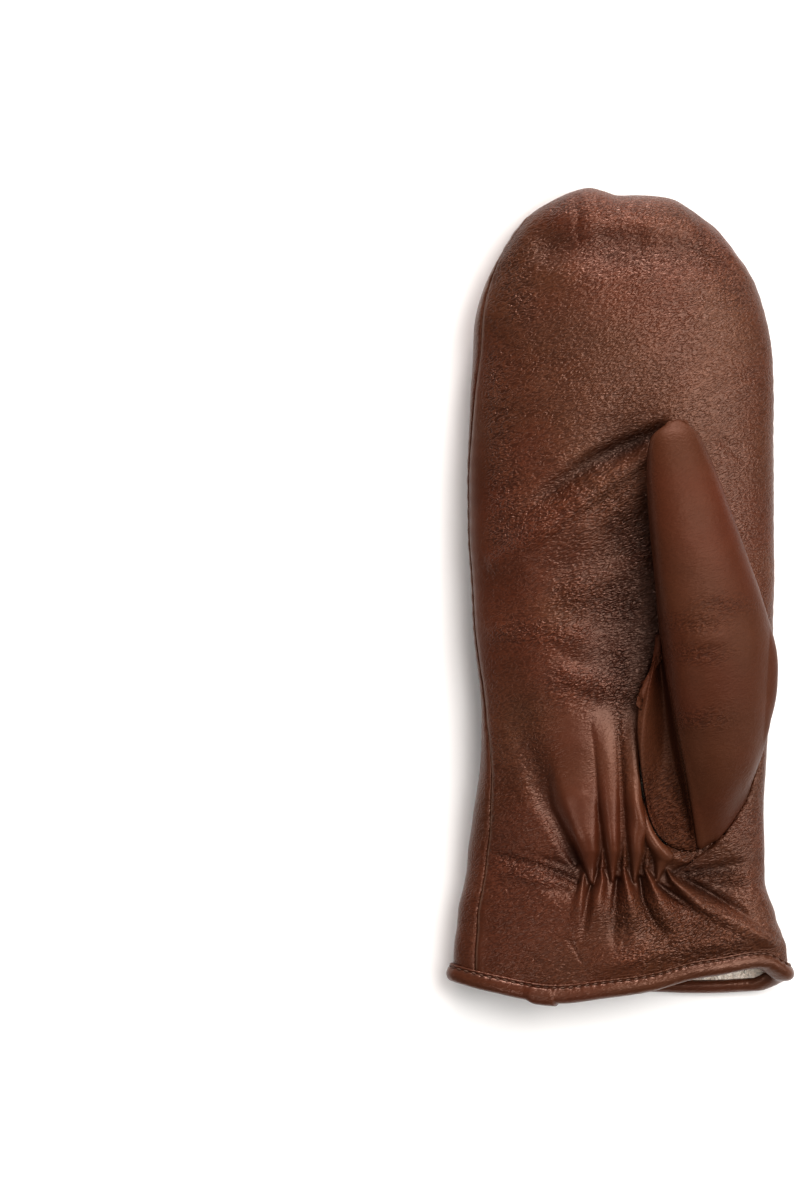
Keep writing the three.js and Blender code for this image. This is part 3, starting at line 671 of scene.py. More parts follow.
@dataclass(frozen=True)
class ThumbSkin:
    """The skin of the thumb, which stands in the palm's oval hole and lies over the palm.

    Args:
        hand: The skin that it stands in.
        depth: Its height above the palm, where it is fullest.
        fullness: How round its section is: lower is boxier.
        flatness: The same for the crown of the outer panel.
        rest_gap: How far its underside stays off the palm.
        seam_gap: The gap between its two panels.
        gusset_dent: How deep the gusset dips beside the outer panel.
        gusset_sink: How far the dip may go below the palm.
        gusset_place: How soon the dip starts beside the seam.
        gusset_reach: Where the dip fades out across the gusset.
        gusset_span: Where the dip starts, is full, fades and ends along the thumb.
        gusset_roll: How high the gusset rolls up beside the palm's rim.
        gusset_roll_from: Where that roll starts round the section.
        gusset_roll_end: Where it ends along the thumb.
        rim_fade: How far up the thumb follows the hole's outline.
        edge_reach: How near the hand's edge the palm's height is still read.
        free_from: Where the thumb comes free of the palm's folds.
    """

    hand: HandSkin = HandSkin()
    depth: float = 20 * MM
    fullness: float = 0.85
    flatness: float = 0.6
    rest_gap: float = 0.8 * MM
    seam_gap: float = 0.3 * MM
    gusset_dent: float = 9 * MM
    gusset_sink: float = 1.2 * MM
    gusset_place: float = 0.035
    gusset_reach: Span = (0.08, 0.6)
    gusset_span: tuple[float, float, float, float] = (0.0, 0.07, 0.3, 0.43)
    gusset_roll: float = 0.9 * MM
    gusset_roll_from: float = 0.72
    gusset_roll_end: float = 0.22
    rim_fade: float = 0.3
    edge_reach: float = 0.94
    free_from: float = 0.06

    def guide(self, name: str, share: Array) -> Array:
        """Reads a guide line.

        Args:
            name: The guide's column in the thumb's table.
            share: From 0 at the base to 1 at the tip.

        Returns:
            Its places in plan, with the lift above the palm for a height.
        """
        stations = np.linspace(0, 1, len(THUMB))
        values = np.array([getattr(row, name) for row in THUMB], dtype=float)
        across, along, lift = (smooth_curve(stations, values[:, i], share) for i in range(3))
        x, y = self.hand.place(across, along)
        return np.stack([x, y, lift * self.depth], axis=-1)

    def section(self, turn: Array, share: Array, inset: float = 0.0) -> Array:
        """Places points round the thumb's section, with their lift for a height.

        Args:
            turn: From the left seam (0) over the outer panel to the right seam (a half) and back.
            share: From 0 at the base seam to 1 at the tip.
            inset: How far the section is drawn in.

        Returns:
            An array of points.
        """
        base = self.oval(turn, np.zeros_like(share), 0.0)
        offset = base[..., :2] - self.hole_centre()
        radius = np.linalg.norm(offset, axis=-1)
        wanted = self.rim_reach(np.arctan2(offset[..., 1], offset[..., 0]))
        fade = 1 - smoothstep(share, 0.0, self.rim_fade)
        points = self.oval(turn, share, inset)
        points[..., :2] += offset * ((wanted / radius - 1) * fade)[..., None]
        return points

    def oval(self, turn: Array, share: Array, inset: float) -> Array:
        """Places points round an oval section through the four guide lines.

        Args:
            turn: Round the section, as for section.
            share: From 0 at the base seam to 1 at the tip.
            inset: How far the section is drawn in.

        Returns:
            An array of points.
        """
        left, right = self.guide("left", share), self.guide("right", share)
        centre = (left + right) / 2
        up, side = np.sin(turn * 2 * math.pi)[..., None], np.cos(turn * 2 * math.pi)[..., None]
        crown = np.where(up >= 0, self.guide("outer", share), self.guide("inner", share)) - centre
        seam = np.where(side >= 0, left, right) - centre
        flat = np.where(up >= 0, self.flatness, self.fullness)
        round_plan = np.full_like(flat, self.fullness)
        powers = np.concatenate([round_plan, round_plan, flat], axis=-1)
        return (
            centre
            + self.shrink(seam, inset) * np.abs(side) ** self.fullness
            + self.shrink(crown, inset) * np.abs(up) ** powers
        )

    @staticmethod
    def shrink(vector: Array, inset: float) -> Array:
        """Shortens vectors by the inset, but never to less than a fifth."""
        size = np.linalg.norm(vector, axis=-1, keepdims=True)
        return vector * np.maximum(1 - inset / np.maximum(size, TINY), 0.2)

    def point(self, turn: Array, share: Array, side: Side) -> Array:
        """Places points on the outside of one thumb panel.

        Args:
            turn: Round the section, as for section.
            share: From 0 at the base seam to 1 at the tip.
            side: Which panel it is.

        Returns:
            An array of points.
        """
        points = self.section(turn, share)
        x, y = points[..., 0], points[..., 1]
        edge = read_column(SIDES, "along", "right", y / self.hand.length + 0.5) * self.hand.half
        inside = np.minimum(x, self.edge_reach * edge)
        folded, plain = (self.hand.palm_height(inside, y, folds) for folds in (True, False))
        lift = points[..., 2]
        free = smoothstep(share, 0.0, self.free_from)
        z = mix(folded, plain, free) + lift + side.value * self.seam_gap / 2
        if side is Side.DOWN:
            z = z + np.where(share > 0.0, np.maximum(0, folded + self.rest_gap * free - z), 0)
            dent = np.minimum(self.gusset_dent * self.gusset_share(turn, share), lift + self.gusset_sink)
            z = z - np.maximum(dent, 0) + self.gusset_roll * self.roll_share(turn, share)
        return np.stack([x, y, z], axis=-1)

    def gusset_share(self, turn: Array, share: Array) -> Array:
        """How far the gusset dips beside the outer panel's left seam.

        Args:
            turn: Round the section, as for section.
            share: From 0 at the base seam to 1 at the tip.

        Returns:
            The share of the full dip.
        """
        crown = np.where(turn >= 0.75, np.abs(np.sin(turn * 2 * math.pi)) ** self.fullness, 1)
        start, full, fading, end = self.gusset_span
        along_share = smoothstep(share, start, full) * (1 - smoothstep(share, fading, end))
        near, far = self.gusset_reach
        return (1 - np.exp(-crown / self.gusset_place)) * (1 - smoothstep(crown, near, far)) * along_share

    def roll_share(self, turn: Array, share: Array) -> Array:
        """How far the gusset rolls up beside the palm's rim.

        Args:
            turn: Round the section, as for section.
            share: From 0 at the base seam to 1 at the tip.

        Returns:
            The share of the full roll.
        """
        start = self.gusset_roll_from
        round_share = np.sin(np.clip((turn - start) / (1 - start), 0, 1) * math.pi)
        return round_share**0.5 * np.sin(np.clip(share / self.gusset_roll_end, 0, 1) * math.pi)

    def rim_reach(self, angle: Array) -> Array:
        """Reads the outline of the thumb's hole.

        Args:
            angle: Directions from the hole's middle.

        Returns:
            The outline's distance from the middle in each direction.
        """
        places = np.array([self.hand.place(row.across, row.along) for row in RIM]) - self.hole_centre()
        angles, reaches = np.arctan2(places[:, 1], places[:, 0]), np.linalg.norm(places, axis=1)
        order = np.argsort(angles)
        turned = np.concatenate([angles[order] + shift for shift in (-2 * math.pi, 0, 2 * math.pi)])
        return smooth_curve(turned, np.tile(reaches[order], 3), angle)

    def hole_scale(self, x: Array, y: Array) -> Array:
        """Tells how far out a place lies from the thumb's base: 1 is on the base's outline."""
        dx, dy = x - self.hole_centre()[0], y - self.hole_centre()[1]
        return np.hypot(dx, dy) / self.rim_reach(np.arctan2(dy, dx))

    def hole_centre(self) -> Array:
        """The middle of the thumb's base in plan."""
        zero = np.zeros(1)
        return (self.guide("left", zero)[0, :2] + self.guide("right", zero)[0, :2]) / 2


class NodeTree:
    """Builds a node material step by step."""

    def __init__(self, name: str) -> None:
        """Starts a material with an empty node tree and its output.

        Args:
            name: The material's name.
        """
        self.material = bpy.data.materials.new(name)
        self.material.use_nodes = True
        self.tree = self.material.node_tree
        self.tree.nodes.clear()
        self.shader = self.add("ShaderNodeBsdfPrincipled")
        self.add("ShaderNodeOutputMaterial", {"Surface": self.shader.outputs["BSDF"]})
        self.place = self.add("ShaderNodeTexCoord").outputs["Object"]

    def add(self, kind: str, values: dict | None = None, **settings) -> bpy.types.Node:
        """Adds a node.

        Args:
            kind: The node's type.
            values: A socket or a plain value for each of its inputs that is filled.
            settings: Its properties, such as an operation.

        Returns:
            The node.
        """
        node = self.tree.nodes.new(kind)
        for key, value in settings.items():
            setattr(node, key, value)
        self.fill(node, values or {})
        return node

    def fill(self, node: bpy.types.Node, values: dict) -> None:
        """Fills inputs of a node.

        Args:
            node: The node.
            values: A socket to link or a plain value to set, by the input's name or number.
        """
        for key, value in values.items():
            if isinstance(value, Socket):
                self.tree.links.new(value, node.inputs[key])
            else:
                node.inputs[key].default_value = value

    def finish(self, values: dict) -> bpy.types.Material:
        """Fills the shader's inputs and returns the material."""
        self.fill(self.shader, values)
        return self.material

    def noise(self, scale: float, detail: float = 3, roughness: float = 0.5) -> Socket:
        """Adds soft noise and returns its value."""
        values = {"Scale": scale, "Detail": detail, "Roughness": roughness, "Vector": self.place}
        return self.add("ShaderNodeTexNoise", values).outputs["Fac"]

    def cells(self, scale: float, vector: Socket, smoothness: float = 0.35) -> Socket:
        """Adds rounded cells, as of curled pile, and returns the distance to their middles."""
        values = {"Scale": scale, "Smoothness": smoothness, "Vector": vector}
        return self.add("ShaderNodeTexVoronoi", values, feature="SMOOTH_F1").outputs["Distance"]

    def ridges(self, scale: float, vector: Socket, width: float) -> Socket:
        """Adds a net of thin wavy ridges, as of drawn-up grain.

        Args:
            scale: How fine the net is.
            vector: Where it is read.
            width: How far the ridges spread, as a share of the noise's range.

        Returns:
            Their height, from 0 between them to 1 on their crests.
        """
        node = self.add("ShaderNodeTexNoise", {"Scale": scale, "Detail": 1.0, "Vector": vector})
        from_middle = self.math("ABSOLUTE", self.math("SUBTRACT", node.outputs["Fac"], 0.5))
        return self.remap(from_middle, (0.0, width), (1.0, 0.0))

    def grooves(self, scale: float, vector: Socket) -> Socket:
        """Adds flat cells with grooves between them and returns the distance from the grooves."""
        values = {"Scale": scale, "Vector": vector}
        return self.add("ShaderNodeTexVoronoi", values, feature="DISTANCE_TO_EDGE").outputs["Distance"]

    def warped(self, scale: float, amount: float) -> Socket:
        """Shakes the place by noise, so that a pattern on it loses its regularity.

        Args:
            scale: How fine the noise is.
            amount: How far it shakes, in metres.

        Returns:
            The shaken place.
        """
        shake = self.add("ShaderNodeTexNoise", {"Scale": scale, "Vector": self.place})
        values = {0: shake.outputs["Color"], 1: (amount, amount, amount), 2: self.place}
        return self.add("ShaderNodeVectorMath", values, operation="MULTIPLY_ADD").outputs["Vector"]

    def stretched(self, vector: Socket, angle: float, amount: float) -> Socket:
        """Draws a pattern out across the hand, as leather wrinkles run."""
        values = {"Rotation": (0, 0, math.radians(angle)), "Scale": (amount, 1.0, 1.0), "Vector": vector}
        return self.add("ShaderNodeMapping", values, vector_type="TEXTURE").outputs["Vector"]

    def ramp(self, source: Socket, *stops: tuple[float, Color]) -> Socket:
        """Adds a colour ramp.

        Args:
            source: What it colours.
            stops: Places from 0 to 1, each with its colour.

        Returns:
            The colour.
        """
        node = self.add("ShaderNodeValToRGB", {"Fac": source})
        elements = node.color_ramp.elements
        while len(elements) < len(stops):
            elements.new(0.5)
        for element, (at, color) in zip(elements, stops):
            element.position = at
            element.color = (*color, 1)
        return node.outputs["Color"]

    def remap(self, source: Socket, low: Span, high: Span) -> Socket:
        """Maps the range low to the range high."""
        ends = zip(("From Min", "From Max", "To Min", "To Max"), (*low, *high))
        return self.add("ShaderNodeMapRange", {"Value": source, **dict(ends)}).outputs["Result"]

    def math(self, operation: str, *values: Socket | float) -> Socket:
        """Works a value out from others."""
        return self.add("ShaderNodeMath", dict(enumerate(values)), operation=operation).outputs["Value"]

    def blend(
        self, first: Socket, second: Socket, factor: Socket | float = 1.0, mode: str = "MULTIPLY"
    ) -> Socket:
        """Blends two colours.

        Args:
            first: The colour below.
            second: The colour above.
            factor: How far the colour above is used.
            mode: Blender's blend type.

        Returns:
            The blended colour.
        """
        values = {"Factor": factor, "A": first, "B": second}
        return self.add("ShaderNodeMix", values, data_type="RGBA", blend_type=mode).outputs["Result"]

    def attribute(self, name: str) -> Socket:
        """Reads a piece's own number attribute."""
        return self.add("ShaderNodeAttribute", attribute_name=name).outputs["Fac"]

    def bump(
        self, height: Socket, distance: float, strength: float = 1.0, below: Socket | None = None
    ) -> Socket:
        """Adds a bump.

        Args:
            height: What stands out, from 0 to 1.
            distance: How far it stands out, in metres.
            strength: How much of it shows.
            below: The normal that it is laid over.

        Returns:
            The new normal.
        """
        values = {"Distance": distance, "Strength": strength, "Height": height}
        if below is not None:
            values["Normal"] = below
        return self.add("ShaderNodeBump", values).outputs["Normal"]


@dataclass(frozen=True)
class LeatherFinish:
    """Satin leather with a grain of flat pebbles and thin ridges, which a piece's attributes guide; its
    relief attribute paints shade and light into the colour.

    Args:
        name: The material's name.
        dark: Its colour in the darkest of its broad soft patches.
        mid: Its usual colour.
        light: Its colour in the lightest patches.
        cut: The colour of a cut edge.
        sheen: The tint of its highlights.
        gloss: How strong its highlights are.
        roughness: How rough it is where it is smoothest and roughest.
        grain_scale: How fine the pebbles and the ridges between them are.
        grain_angle: Which way the grain runs, in degrees from straight across.
        grain_stretch: How much longer than wide the grain is.
        line_scale: How fine the net of long lines is.
        line_stretch: How much longer than wide that net is.
        pore_depth: How deep the fine pores are, in metres.
        pebble_depth: How far the pebbles stand out, in metres.
        ridge_depth: How far the ridges stand out, in metres.
        line_depth: How far the long lines stand out, in metres.
    """

    name: str
    dark: Color
    mid: Color
    light: Color
    cut: Color = (0.2, 0.1, 0.06)
    sheen: Color = (1.0, 0.66, 0.54)
    gloss: float = 0.5
    roughness: Span = (0.3, 0.39)
    grain_scale: float = 1050
    grain_angle: float = 24
    grain_stretch: float = 2.7
    line_scale: float = 130
    line_stretch: float = 3.0
    pore_depth: float = 0.00025
    pebble_depth: float = 0.00012
    ridge_depth: float = 0.00035
    line_depth: float = 0.00012

    def make(self) -> bpy.types.Material:
        """Builds the node material.

        Returns:
            The material.
        """
        nodes = NodeTree(self.name)
        # The relief attribute holds painted shade and light, not a height.
        relief, grain, raw = (nodes.attribute(name) for name in ("relief", "grain", "raw_edge"))
        warped = nodes.warped(300, 0.0005)
        lay = nodes.stretched(warped, self.grain_angle, self.grain_stretch)
        pebbles = nodes.remap(nodes.grooves(self.grain_scale, lay), (0.0, 0.35), (0.0, 1.0))
        wrinkles = nodes.ridges(self.grain_scale, lay, 0.15)
        line_lay = nodes.stretched(warped, self.grain_angle, self.line_stretch)
        long_lines = nodes.ridges(self.line_scale, line_lay, 0.012)
        tinted = nodes.remap(grain, (0.1, 0.5), (0.1, 0.9))
        color = nodes.ramp(nodes.noise(38, 5, 0.6), (0.3, self.dark), (0.5, self.mid), (0.72, self.light))
        hue = nodes.ramp(nodes.noise(22, 2), (0.4, (1.04, 0.96, 0.95)), (0.6, (0.95, 1.08, 1.06)))
        # Painted shade in valleys, rolled seams and grooves and painted light on ridges, read from the relief
        # attribute.
        shade = nodes.ramp(relief, (0.0, (0.3, 0.25, 0.23)), (0.5, PLAIN), (1.0, (1.2, 1.18, 1.15)))
        # Darker in the grooves between the pebbles: partly the grain's own colour, partly painted shade.
        pits = nodes.ramp(pebbles, (0.0, (0.6, 0.55, 0.53)), (0.5, PLAIN))
        # Painted highlights on the wrinkles' crests and painted shade between them, following the grain's own
        # pattern and strongest where the grain attribute is.
        crests = nodes.ramp(wrinkles, (0.0, (0.68, 0.64, 0.62)), (0.5, PLAIN), (1.0, (1.34, 1.4, 1.42)))
        lines = nodes.ramp(long_lines, (0.0, PLAIN), (1.0, (1.25, 1.28, 1.3)))
        for tint, factor in ((hue, 1.0), (shade, 1.0), (pits, tinted), (crests, tinted), (lines, grain)):
            color = nodes.blend(color, tint, factor)
        cut = nodes.ramp(relief, (0.0, self.cut), (1.0, self.cut))
        normal = nodes.bump(nodes.noise(420, 3, 0.6), self.pore_depth, 0.4)
        depths = (self.pebble_depth, self.ridge_depth, self.line_depth)
        for pattern, depth in zip((pebbles, wrinkles, long_lines), depths):
            normal = nodes.bump(nodes.math("MULTIPLY", pattern, grain), depth, below=normal)
        return nodes.finish(
            {
                "Base Color": nodes.blend(color, cut, raw, "MIX"),
                "Roughness": nodes.remap(nodes.noise(60, 2), (0.3, 0.7), self.roughness),
                "Specular IOR Level": self.gloss,
                "Specular Tint": (*self.sheen, 1),
                "Normal": normal,
            }
        )


@dataclass(frozen=True)
class FleeceFinish:
    """Matt cream fleece."""

    name: str = "fleece"
    dark: Color = (0.8, 0.67, 0.56)
    light: Color = (0.98, 0.91, 0.82)
    curl_scale: float = 620
    curl_depth: float = 0.0016
    fibre_scale: float = 2600
    fibre_depth: float = 0.0004

    def make(self) -> bpy.types.Material:
        """Builds the node material.

        Returns:
            The material.
        """
        nodes = NodeTree(self.name)
        curls = nodes.cells(self.curl_scale, nodes.warped(300, 0.003))
        normal = nodes.bump(nodes.remap(curls, (0, 1), (1, 0)), self.curl_depth, 0.8)
        return nodes.finish(
            {
                "Base Color": nodes.ramp(curls, (0.1, self.light), (0.9, self.dark)),
                "Roughness": 0.95,
                "Sheen Weight": 0.4,
                "Sheen Roughness": 0.6,
                "Normal": nodes.bump(nodes.noise(self.fibre_scale), self.fibre_depth, 0.6, normal),
            }
        )


@dataclass(frozen=True)
class ThreadFinish:
    """Waxed brown sewing thread with its twist."""

    name: str = "thread"
    dark: Color = (0.06, 0.026, 0.014)
    light: Color = (0.13, 0.06, 0.036)
    twist_scale: float = 3500
    twist_depth: float = 0.0002

    def make(self) -> bpy.types.Material:
        """Builds the node material.

        Returns:
            The material.
        """
        nodes = NodeTree(self.name)
        twist = nodes.noise(self.twist_scale, 2)
        color = nodes.ramp(twist, (0.35, self.dark), (0.65, self.light))
        return nodes.finish(
            {"Base Color": color, "Roughness": 0.6, "Normal": nodes.bump(twist, self.twist_depth, 0.5)}
        )


HAND_LEATHER = LeatherFinish(
    "hand_leather", (0.054, 0.0156, 0.007), (0.068, 0.0203, 0.0094), (0.082, 0.026, 0.0125)
)
THUMB_LEATHER = LeatherFinish(
    "thumb_leather",
    (0.057, 0.0162, 0.0072),
    (0.066, 0.0192, 0.0088),
    (0.075, 0.0226, 0.0108),
    gloss=0.25,
    roughness=(0.44, 0.52),
)
BINDING_LEATHER = LeatherFinish(
    "binding_leather",
    (0.056, 0.0165, 0.0078),
    (0.07, 0.0215, 0.0105),
    (0.084, 0.0275, 0.014),
    roughness=(0.28, 0.36),
)


def new_piece(
    name: str, bm: bmesh.types.BMesh, material: bpy.types.Material, nodes: Sequence[str]
) -> bpy.types.Object:
    """Turns a bmesh into a piece of the mitten.

    Args:
        name: The piece's name.
        bm: Its shape, which is freed.
        material: Its finish.
        nodes: The CAD nodes that it replaces.

    Returns:
        The new object.
    """
    mesh = bpy.data.meshes.new(name)
    bm.to_mesh(mesh)
    bm.free()
    mesh.materials.append(material)
    for polygon in mesh.polygons:
        polygon.use_smooth = True
    piece = bpy.data.objects.new(name, mesh)
    bpy.context.collection.objects.link(piece)
    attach(piece, "root")
    if nodes:
        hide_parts(*nodes)
    LOG.info("%s: %d vertices, %d faces", name, len(mesh.vertices), len(mesh.polygons))
    return piece


def write_attribute(piece: bpy.types.Object, name: str, values: Array) -> None:
    """Keeps a number for each vertex, for the piece's finish to read."""
    attribute = piece.data.attributes.new(name, "FLOAT", "POINT")
    attribute.data.foreach_set("value", np.ascontiguousarray(values, dtype=np.float32))


def grid_normals(points: Array) -> Array:
    """Unit normals of a grid of points, along the cross product of its rows and columns."""
    normal = np.cross(np.gradient(points, axis=1), np.gradient(points, axis=0))
    return normal / np.maximum(np.linalg.norm(normal, axis=-1, keepdims=True), TINY)


def row_distance(points: Array, axis: int) -> Array:
    """Measures along the rows or columns of a grid.

    Args:
        points: The grid.
        axis: 0 to measure down its columns, 1 to measure along its rows.

    Returns:
        Each point's distance from the first one.
    """
    steps = np.linalg.norm(np.diff(points, axis=axis), axis=-1)
    pad = [(1, 0), (0, 0)] if axis == 0 else [(0, 0), (1, 0)]
    return np.pad(np.cumsum(steps, axis=axis), pad)


def edge_distance(points: Array) -> Array:
    """Measures from a panel's seams, which are its two sides and its tip.

    Args:
        points: The panel's grid.

    Returns:
        Each point's distance from the nearest seam.
    """
    along_row, down_column = row_distance(points, 1), row_distance(points, 0)
    from_sides = np.minimum(along_row, along_row[:, -1:] - along_row)
    return np.minimum(from_sides, down_column[-1:, :] - down_column)


def soft_noise(points: Array, scale: float, seed: float = 0.0) -> Array:
    """Smooth noise from about -1 to 1 at each point, for features of about one over scale."""
    values = [noise.noise(Vector(point)) for point in points.reshape(-1, 3) * scale + seed]
    return np.array(values).reshape(points.shape[:-1])


@dataclass(frozen=True)
class Waves:
    """Soft noise over a surface: how fine it is, where its pattern starts and how high it is."""

    scale: float
    seed: float
    height: float

    def at(self, points: Array) -> Array:
        """Its height at each point."""
        return self.height * soft_noise(points, self.scale, self.seed)


def grid_mesh(
    points: Array, outward: Side, keep: Array | None = None, rim: Array | None = None
) -> bmesh.types.BMesh:
    """Shapes a flat grid into a sheet.

    Args:
        points: Rows of points, one for each vertex of the grid.
        outward: Which way most of its faces look.
        keep: Where a vertex stays; the others are cut away.
        rim: Where a vertex lies on a hole's outline; a face with no other vertices goes too.

    Returns:
        The sheet.
    """
    rows, columns = points.shape[:2]
    bm = bmesh.new()
    bmesh.ops.create_grid(bm, x_segments=columns - 1, y_segments=rows - 1, size=1)
    bm.verts.ensure_lookup_table()
    flat = points.reshape(-1, 3)
    for vertex in bm.verts:
        column_at = round((vertex.co.x + 1) / 2 * (columns - 1))
        row_at = round((vertex.co.y + 1) / 2 * (rows - 1))
        vertex.index = row_at * columns + column_at
    for vertex in bm.verts:
        vertex.co = flat[vertex.index]
    if keep is not None:
        kept, outline = keep.reshape(-1), rim.reshape(-1)
        slivers = [face for face in bm.faces if all(outline[v.index] for v in face.verts)]
        bmesh.ops.delete(bm, geom=slivers, context="FACES_ONLY")
        bmesh.ops.delete(bm, geom=[v for v in bm.verts if not kept[v.index]], context="VERTS")
    bm.normal_update()
    facing = sum(face.normal.z * face.calc_area() for face in bm.faces)
    if facing * outward.value < 0:
        bmesh.ops.reverse_faces(bm, faces=bm.faces)
    return bm


def closed_mesh(points: Array) -> bmesh.types.BMesh:
    """Shapes a grid whose first and last columns or rows meet, with its faces outwards.

    Args:
        points: Rows of points, one for each vertex of the grid.

    Returns:
        The closed sheet.
    """
    bm = grid_mesh(points, Side.UP)
    bmesh.ops.remove_doubles(bm, verts=bm.verts, dist=0.001 * MM)
    bmesh.ops.recalc_face_normals(bm, faces=bm.faces)
    return bm


def thicken(piece: bpy.types.Object, wall: float) -> None:
    """Gives a sheet its wall, on the inside.

    Args:
        piece: The sheet.
        wall: The wall's thickness.
    """
    modifier = piece.modifiers.new("wall", "SOLIDIFY")
    modifier.thickness = wall
    modifier.offset = -1


@dataclass
class HandPanel:
    """A panel of the hand: a fine grid on the skin, with its folds, seams and wall.

    Args:
        name: Its name and its CAD node's.
        side: Which way it faces.
        finish: Its leather.
        rows: How many rows its grid has from the hem to the tip.
        columns: How many columns its grid has between its seams.
        dense_rows: Where its rows lie closer, as shares of the rise.
        dense_columns: Where its columns lie closer, as shares of the way between its seams.
        dense_extra: How much closer they lie there.
        tip_share: One row in how many lies in the rounding at the tip.
        level_share: How far the columns are spaced evenly in plan instead of round the section.
        wall: The leather's thickness.
        skin: The skin that it lies on.
        thumb: The thumb that stands in its hole.
        seam_gap: How far it stays off the other panel.
        seam_roll: How wide its edges roll into the seams.
        seam_depth: How deep they roll.
        seam_lip: How high the leather stands beside the roll.
        pucker_pitch: The distance between the puckers along the seams.
        pucker_reach: How far they reach from the seams.
        pucker_height: How high they stand.
        pucker_waver: The noise that makes them uneven.
        waves: Soft waves and fine dimples in the leather.
        hole_gap: The gap between the hole's edge and the thumb.
        hole_roll: How deep the hole's edge rolls in.
        hole_roll_width: How wide that roll is.
        hole_clear: Where the rim fades in, as distances from the side seam.
        raw_edge: How wide the cut edge shows.
        lip_height: How high the hole's lip stands on the cuff's side.
        lip_low: How high it stands elsewhere.
        lip_place: How far from the edge the lip is highest.
        lip_width: Its half-width.
        lip_span: Where the high lip starts and is full, as distances towards the cuff.
        lip_side: Where it fades out towards the thumb side.
        grain_usual: How strong the grain is on plain leather.
        grain_slack: How strong it is where the leather is slack.
        grain_back: How strong it is on the back of the hand.
        grain_edge: Where it fades in at the left edge, as shares of half the palm width.
        grain_patches: The noise that makes it uneven.
        fold_shade: The fold's height that takes the painted shade from middle to light.
        relief_shade: The same for the finer relief.
    """

    name: str
    side: Side
    finish: LeatherFinish
    rows: int = 290
    columns: int = 168
    dense_rows: Span = (0.05, 0.24)
    dense_columns: Span = (0.25, 0.68)
    dense_extra: float = 1.3
    tip_share: int = 8
    level_share: float = 0.6
    wall: float = 1.2 * MM
    skin: HandSkin = field(default_factory=HandSkin)
    thumb: ThumbSkin = field(default_factory=ThumbSkin)
    seam_gap: float = 0.15 * MM
    seam_roll: float = 1.2 * MM
    seam_depth: float = 0.35 * MM
    seam_lip: float = 0.12 * MM
    pucker_pitch: float = 5.5 * MM
    pucker_reach: float = 6 * MM
    pucker_height: float = 0.16 * MM
    pucker_waver: Waves = Waves(45, 3.0, 0.6)
    waves: tuple[Waves, ...] = (Waves(55, 7.0, 0.35 * MM), Waves(170, 11.0, 0.05 * MM))
    hole_gap: float = 0.3 * MM
    hole_roll: float = 0.9 * MM
    hole_roll_width: float = 1.4 * MM
    hole_clear: Span = (2 * MM, 5 * MM)
    raw_edge: float = 0.5 * MM
    lip_height: float = 1.3 * MM
    lip_low: float = 0.1 * MM
    lip_place: float = 2.8 * MM
    lip_width: float = 2.0 * MM
    lip_span: Span = (60 * MM, 76 * MM)
    lip_side: Span = (20 * MM, 28 * MM)
    grain_usual: float = 0.42
    grain_slack: float = 1.15
    grain_back: float = 0.3
    grain_edge: Span = (-0.98, -0.82)
    grain_patches: Waves = Waves(28, 17.0, 0.3)
    fold_shade: float = 7.5 * MM
    relief_shade: float = 4 * MM

    def grid(self) -> tuple[Array, Array]:
        """Lays the panel's columns between its seams, and its rows from the hem to the tip.

        Returns:
            Each grid point's turn round the section and rise from the hem.
        """
        reach = 1 - self.skin.tip_round / ((self.skin.corner_along - self.skin.hem_along) * self.skin.length)
        tip_rows = self.rows // self.tip_share
        straight = reach * uneven(self.rows - tip_rows, self.dense_rows, self.dense_extra)
        turned = mix(reach, 1, np.sin(np.linspace(0, math.pi / 2, tip_rows + 1)[1:]))
        rise = np.concatenate([straight, turned])[:, None]
        right, left = self.skin.seam_turn("right", rise), self.skin.seam_turn("left", rise)
        share = uneven(self.columns, self.dense_columns, self.dense_extra)[None, :]
        if self.side is Side.DOWN:
            return mix(left, 1 + right, share), np.broadcast_to(rise, (self.rows, self.columns))
        even = mix(right, left, share)
        edges = np.cos(2 * math.pi * right), np.cos(2 * math.pi * left)
        level = np.arccos(np.clip(mix(edges[0], edges[1], share), -1, 1)) / (2 * math.pi)
        return mix(even, level, self.level_share), np.broadcast_to(rise, (self.rows, self.columns))

    def build(self) -> bpy.types.Object:
        """Builds the panel.

        Returns:
            The panel.
        """
        turn, rise = self.grid()
        base = self.skin.point(turn, rise, 0.0, folds=True)
        smooth = self.skin.point(turn, rise, 0.0, folds=False)
        keep, rim = None, None
        if self.side is Side.UP:
            base, keep, rim, from_rim = self.cut_hole(base)
        normal = grid_normals(base)
        normal *= np.sign(np.sum(normal[..., 2] * self.side.value)) or 1
        edge = edge_distance(smooth)
        relief = self.surface_relief(base, edge, rise)
        if self.side is Side.UP:
            relief = relief + self.rim_relief(from_rim, base) * smoothstep(edge, *self.hole_clear)
        points = base + normal * relief[..., None]
        points[..., 2] += self.side.value * self.seam_gap
        if self.side is Side.DOWN:
            points[..., 2] = np.maximum(points[..., 2], 0.0)
        bm = grid_mesh(points, self.side, keep, rim)
        kept = slice(None) if keep is None else keep.reshape(-1)
        piece = new_piece(self.name, bm, self.finish.make(), [self.name])
        # The relief attribute carries the painted shade of the valleys and the painted light of the ridges,
        # not a height.
        write_attribute(piece, "relief", self.shade(base, smooth, relief).reshape(-1)[kept])
        write_attribute(piece, "raw_edge", self.raw_share(edge).reshape(-1)[kept])
        write_attribute(piece, "grain", self.grain(base).reshape(-1)[kept])
        thicken(piece, self.wall)
        return piece

    def raw_share(self, edge: Array) -> Array:
        """Where the palm's cut edge shows along the seam, from 0 to 1."""
        share = np.clip(1 - edge / self.raw_edge, 0, 1)
        return share if self.side is Side.UP else 0 * share

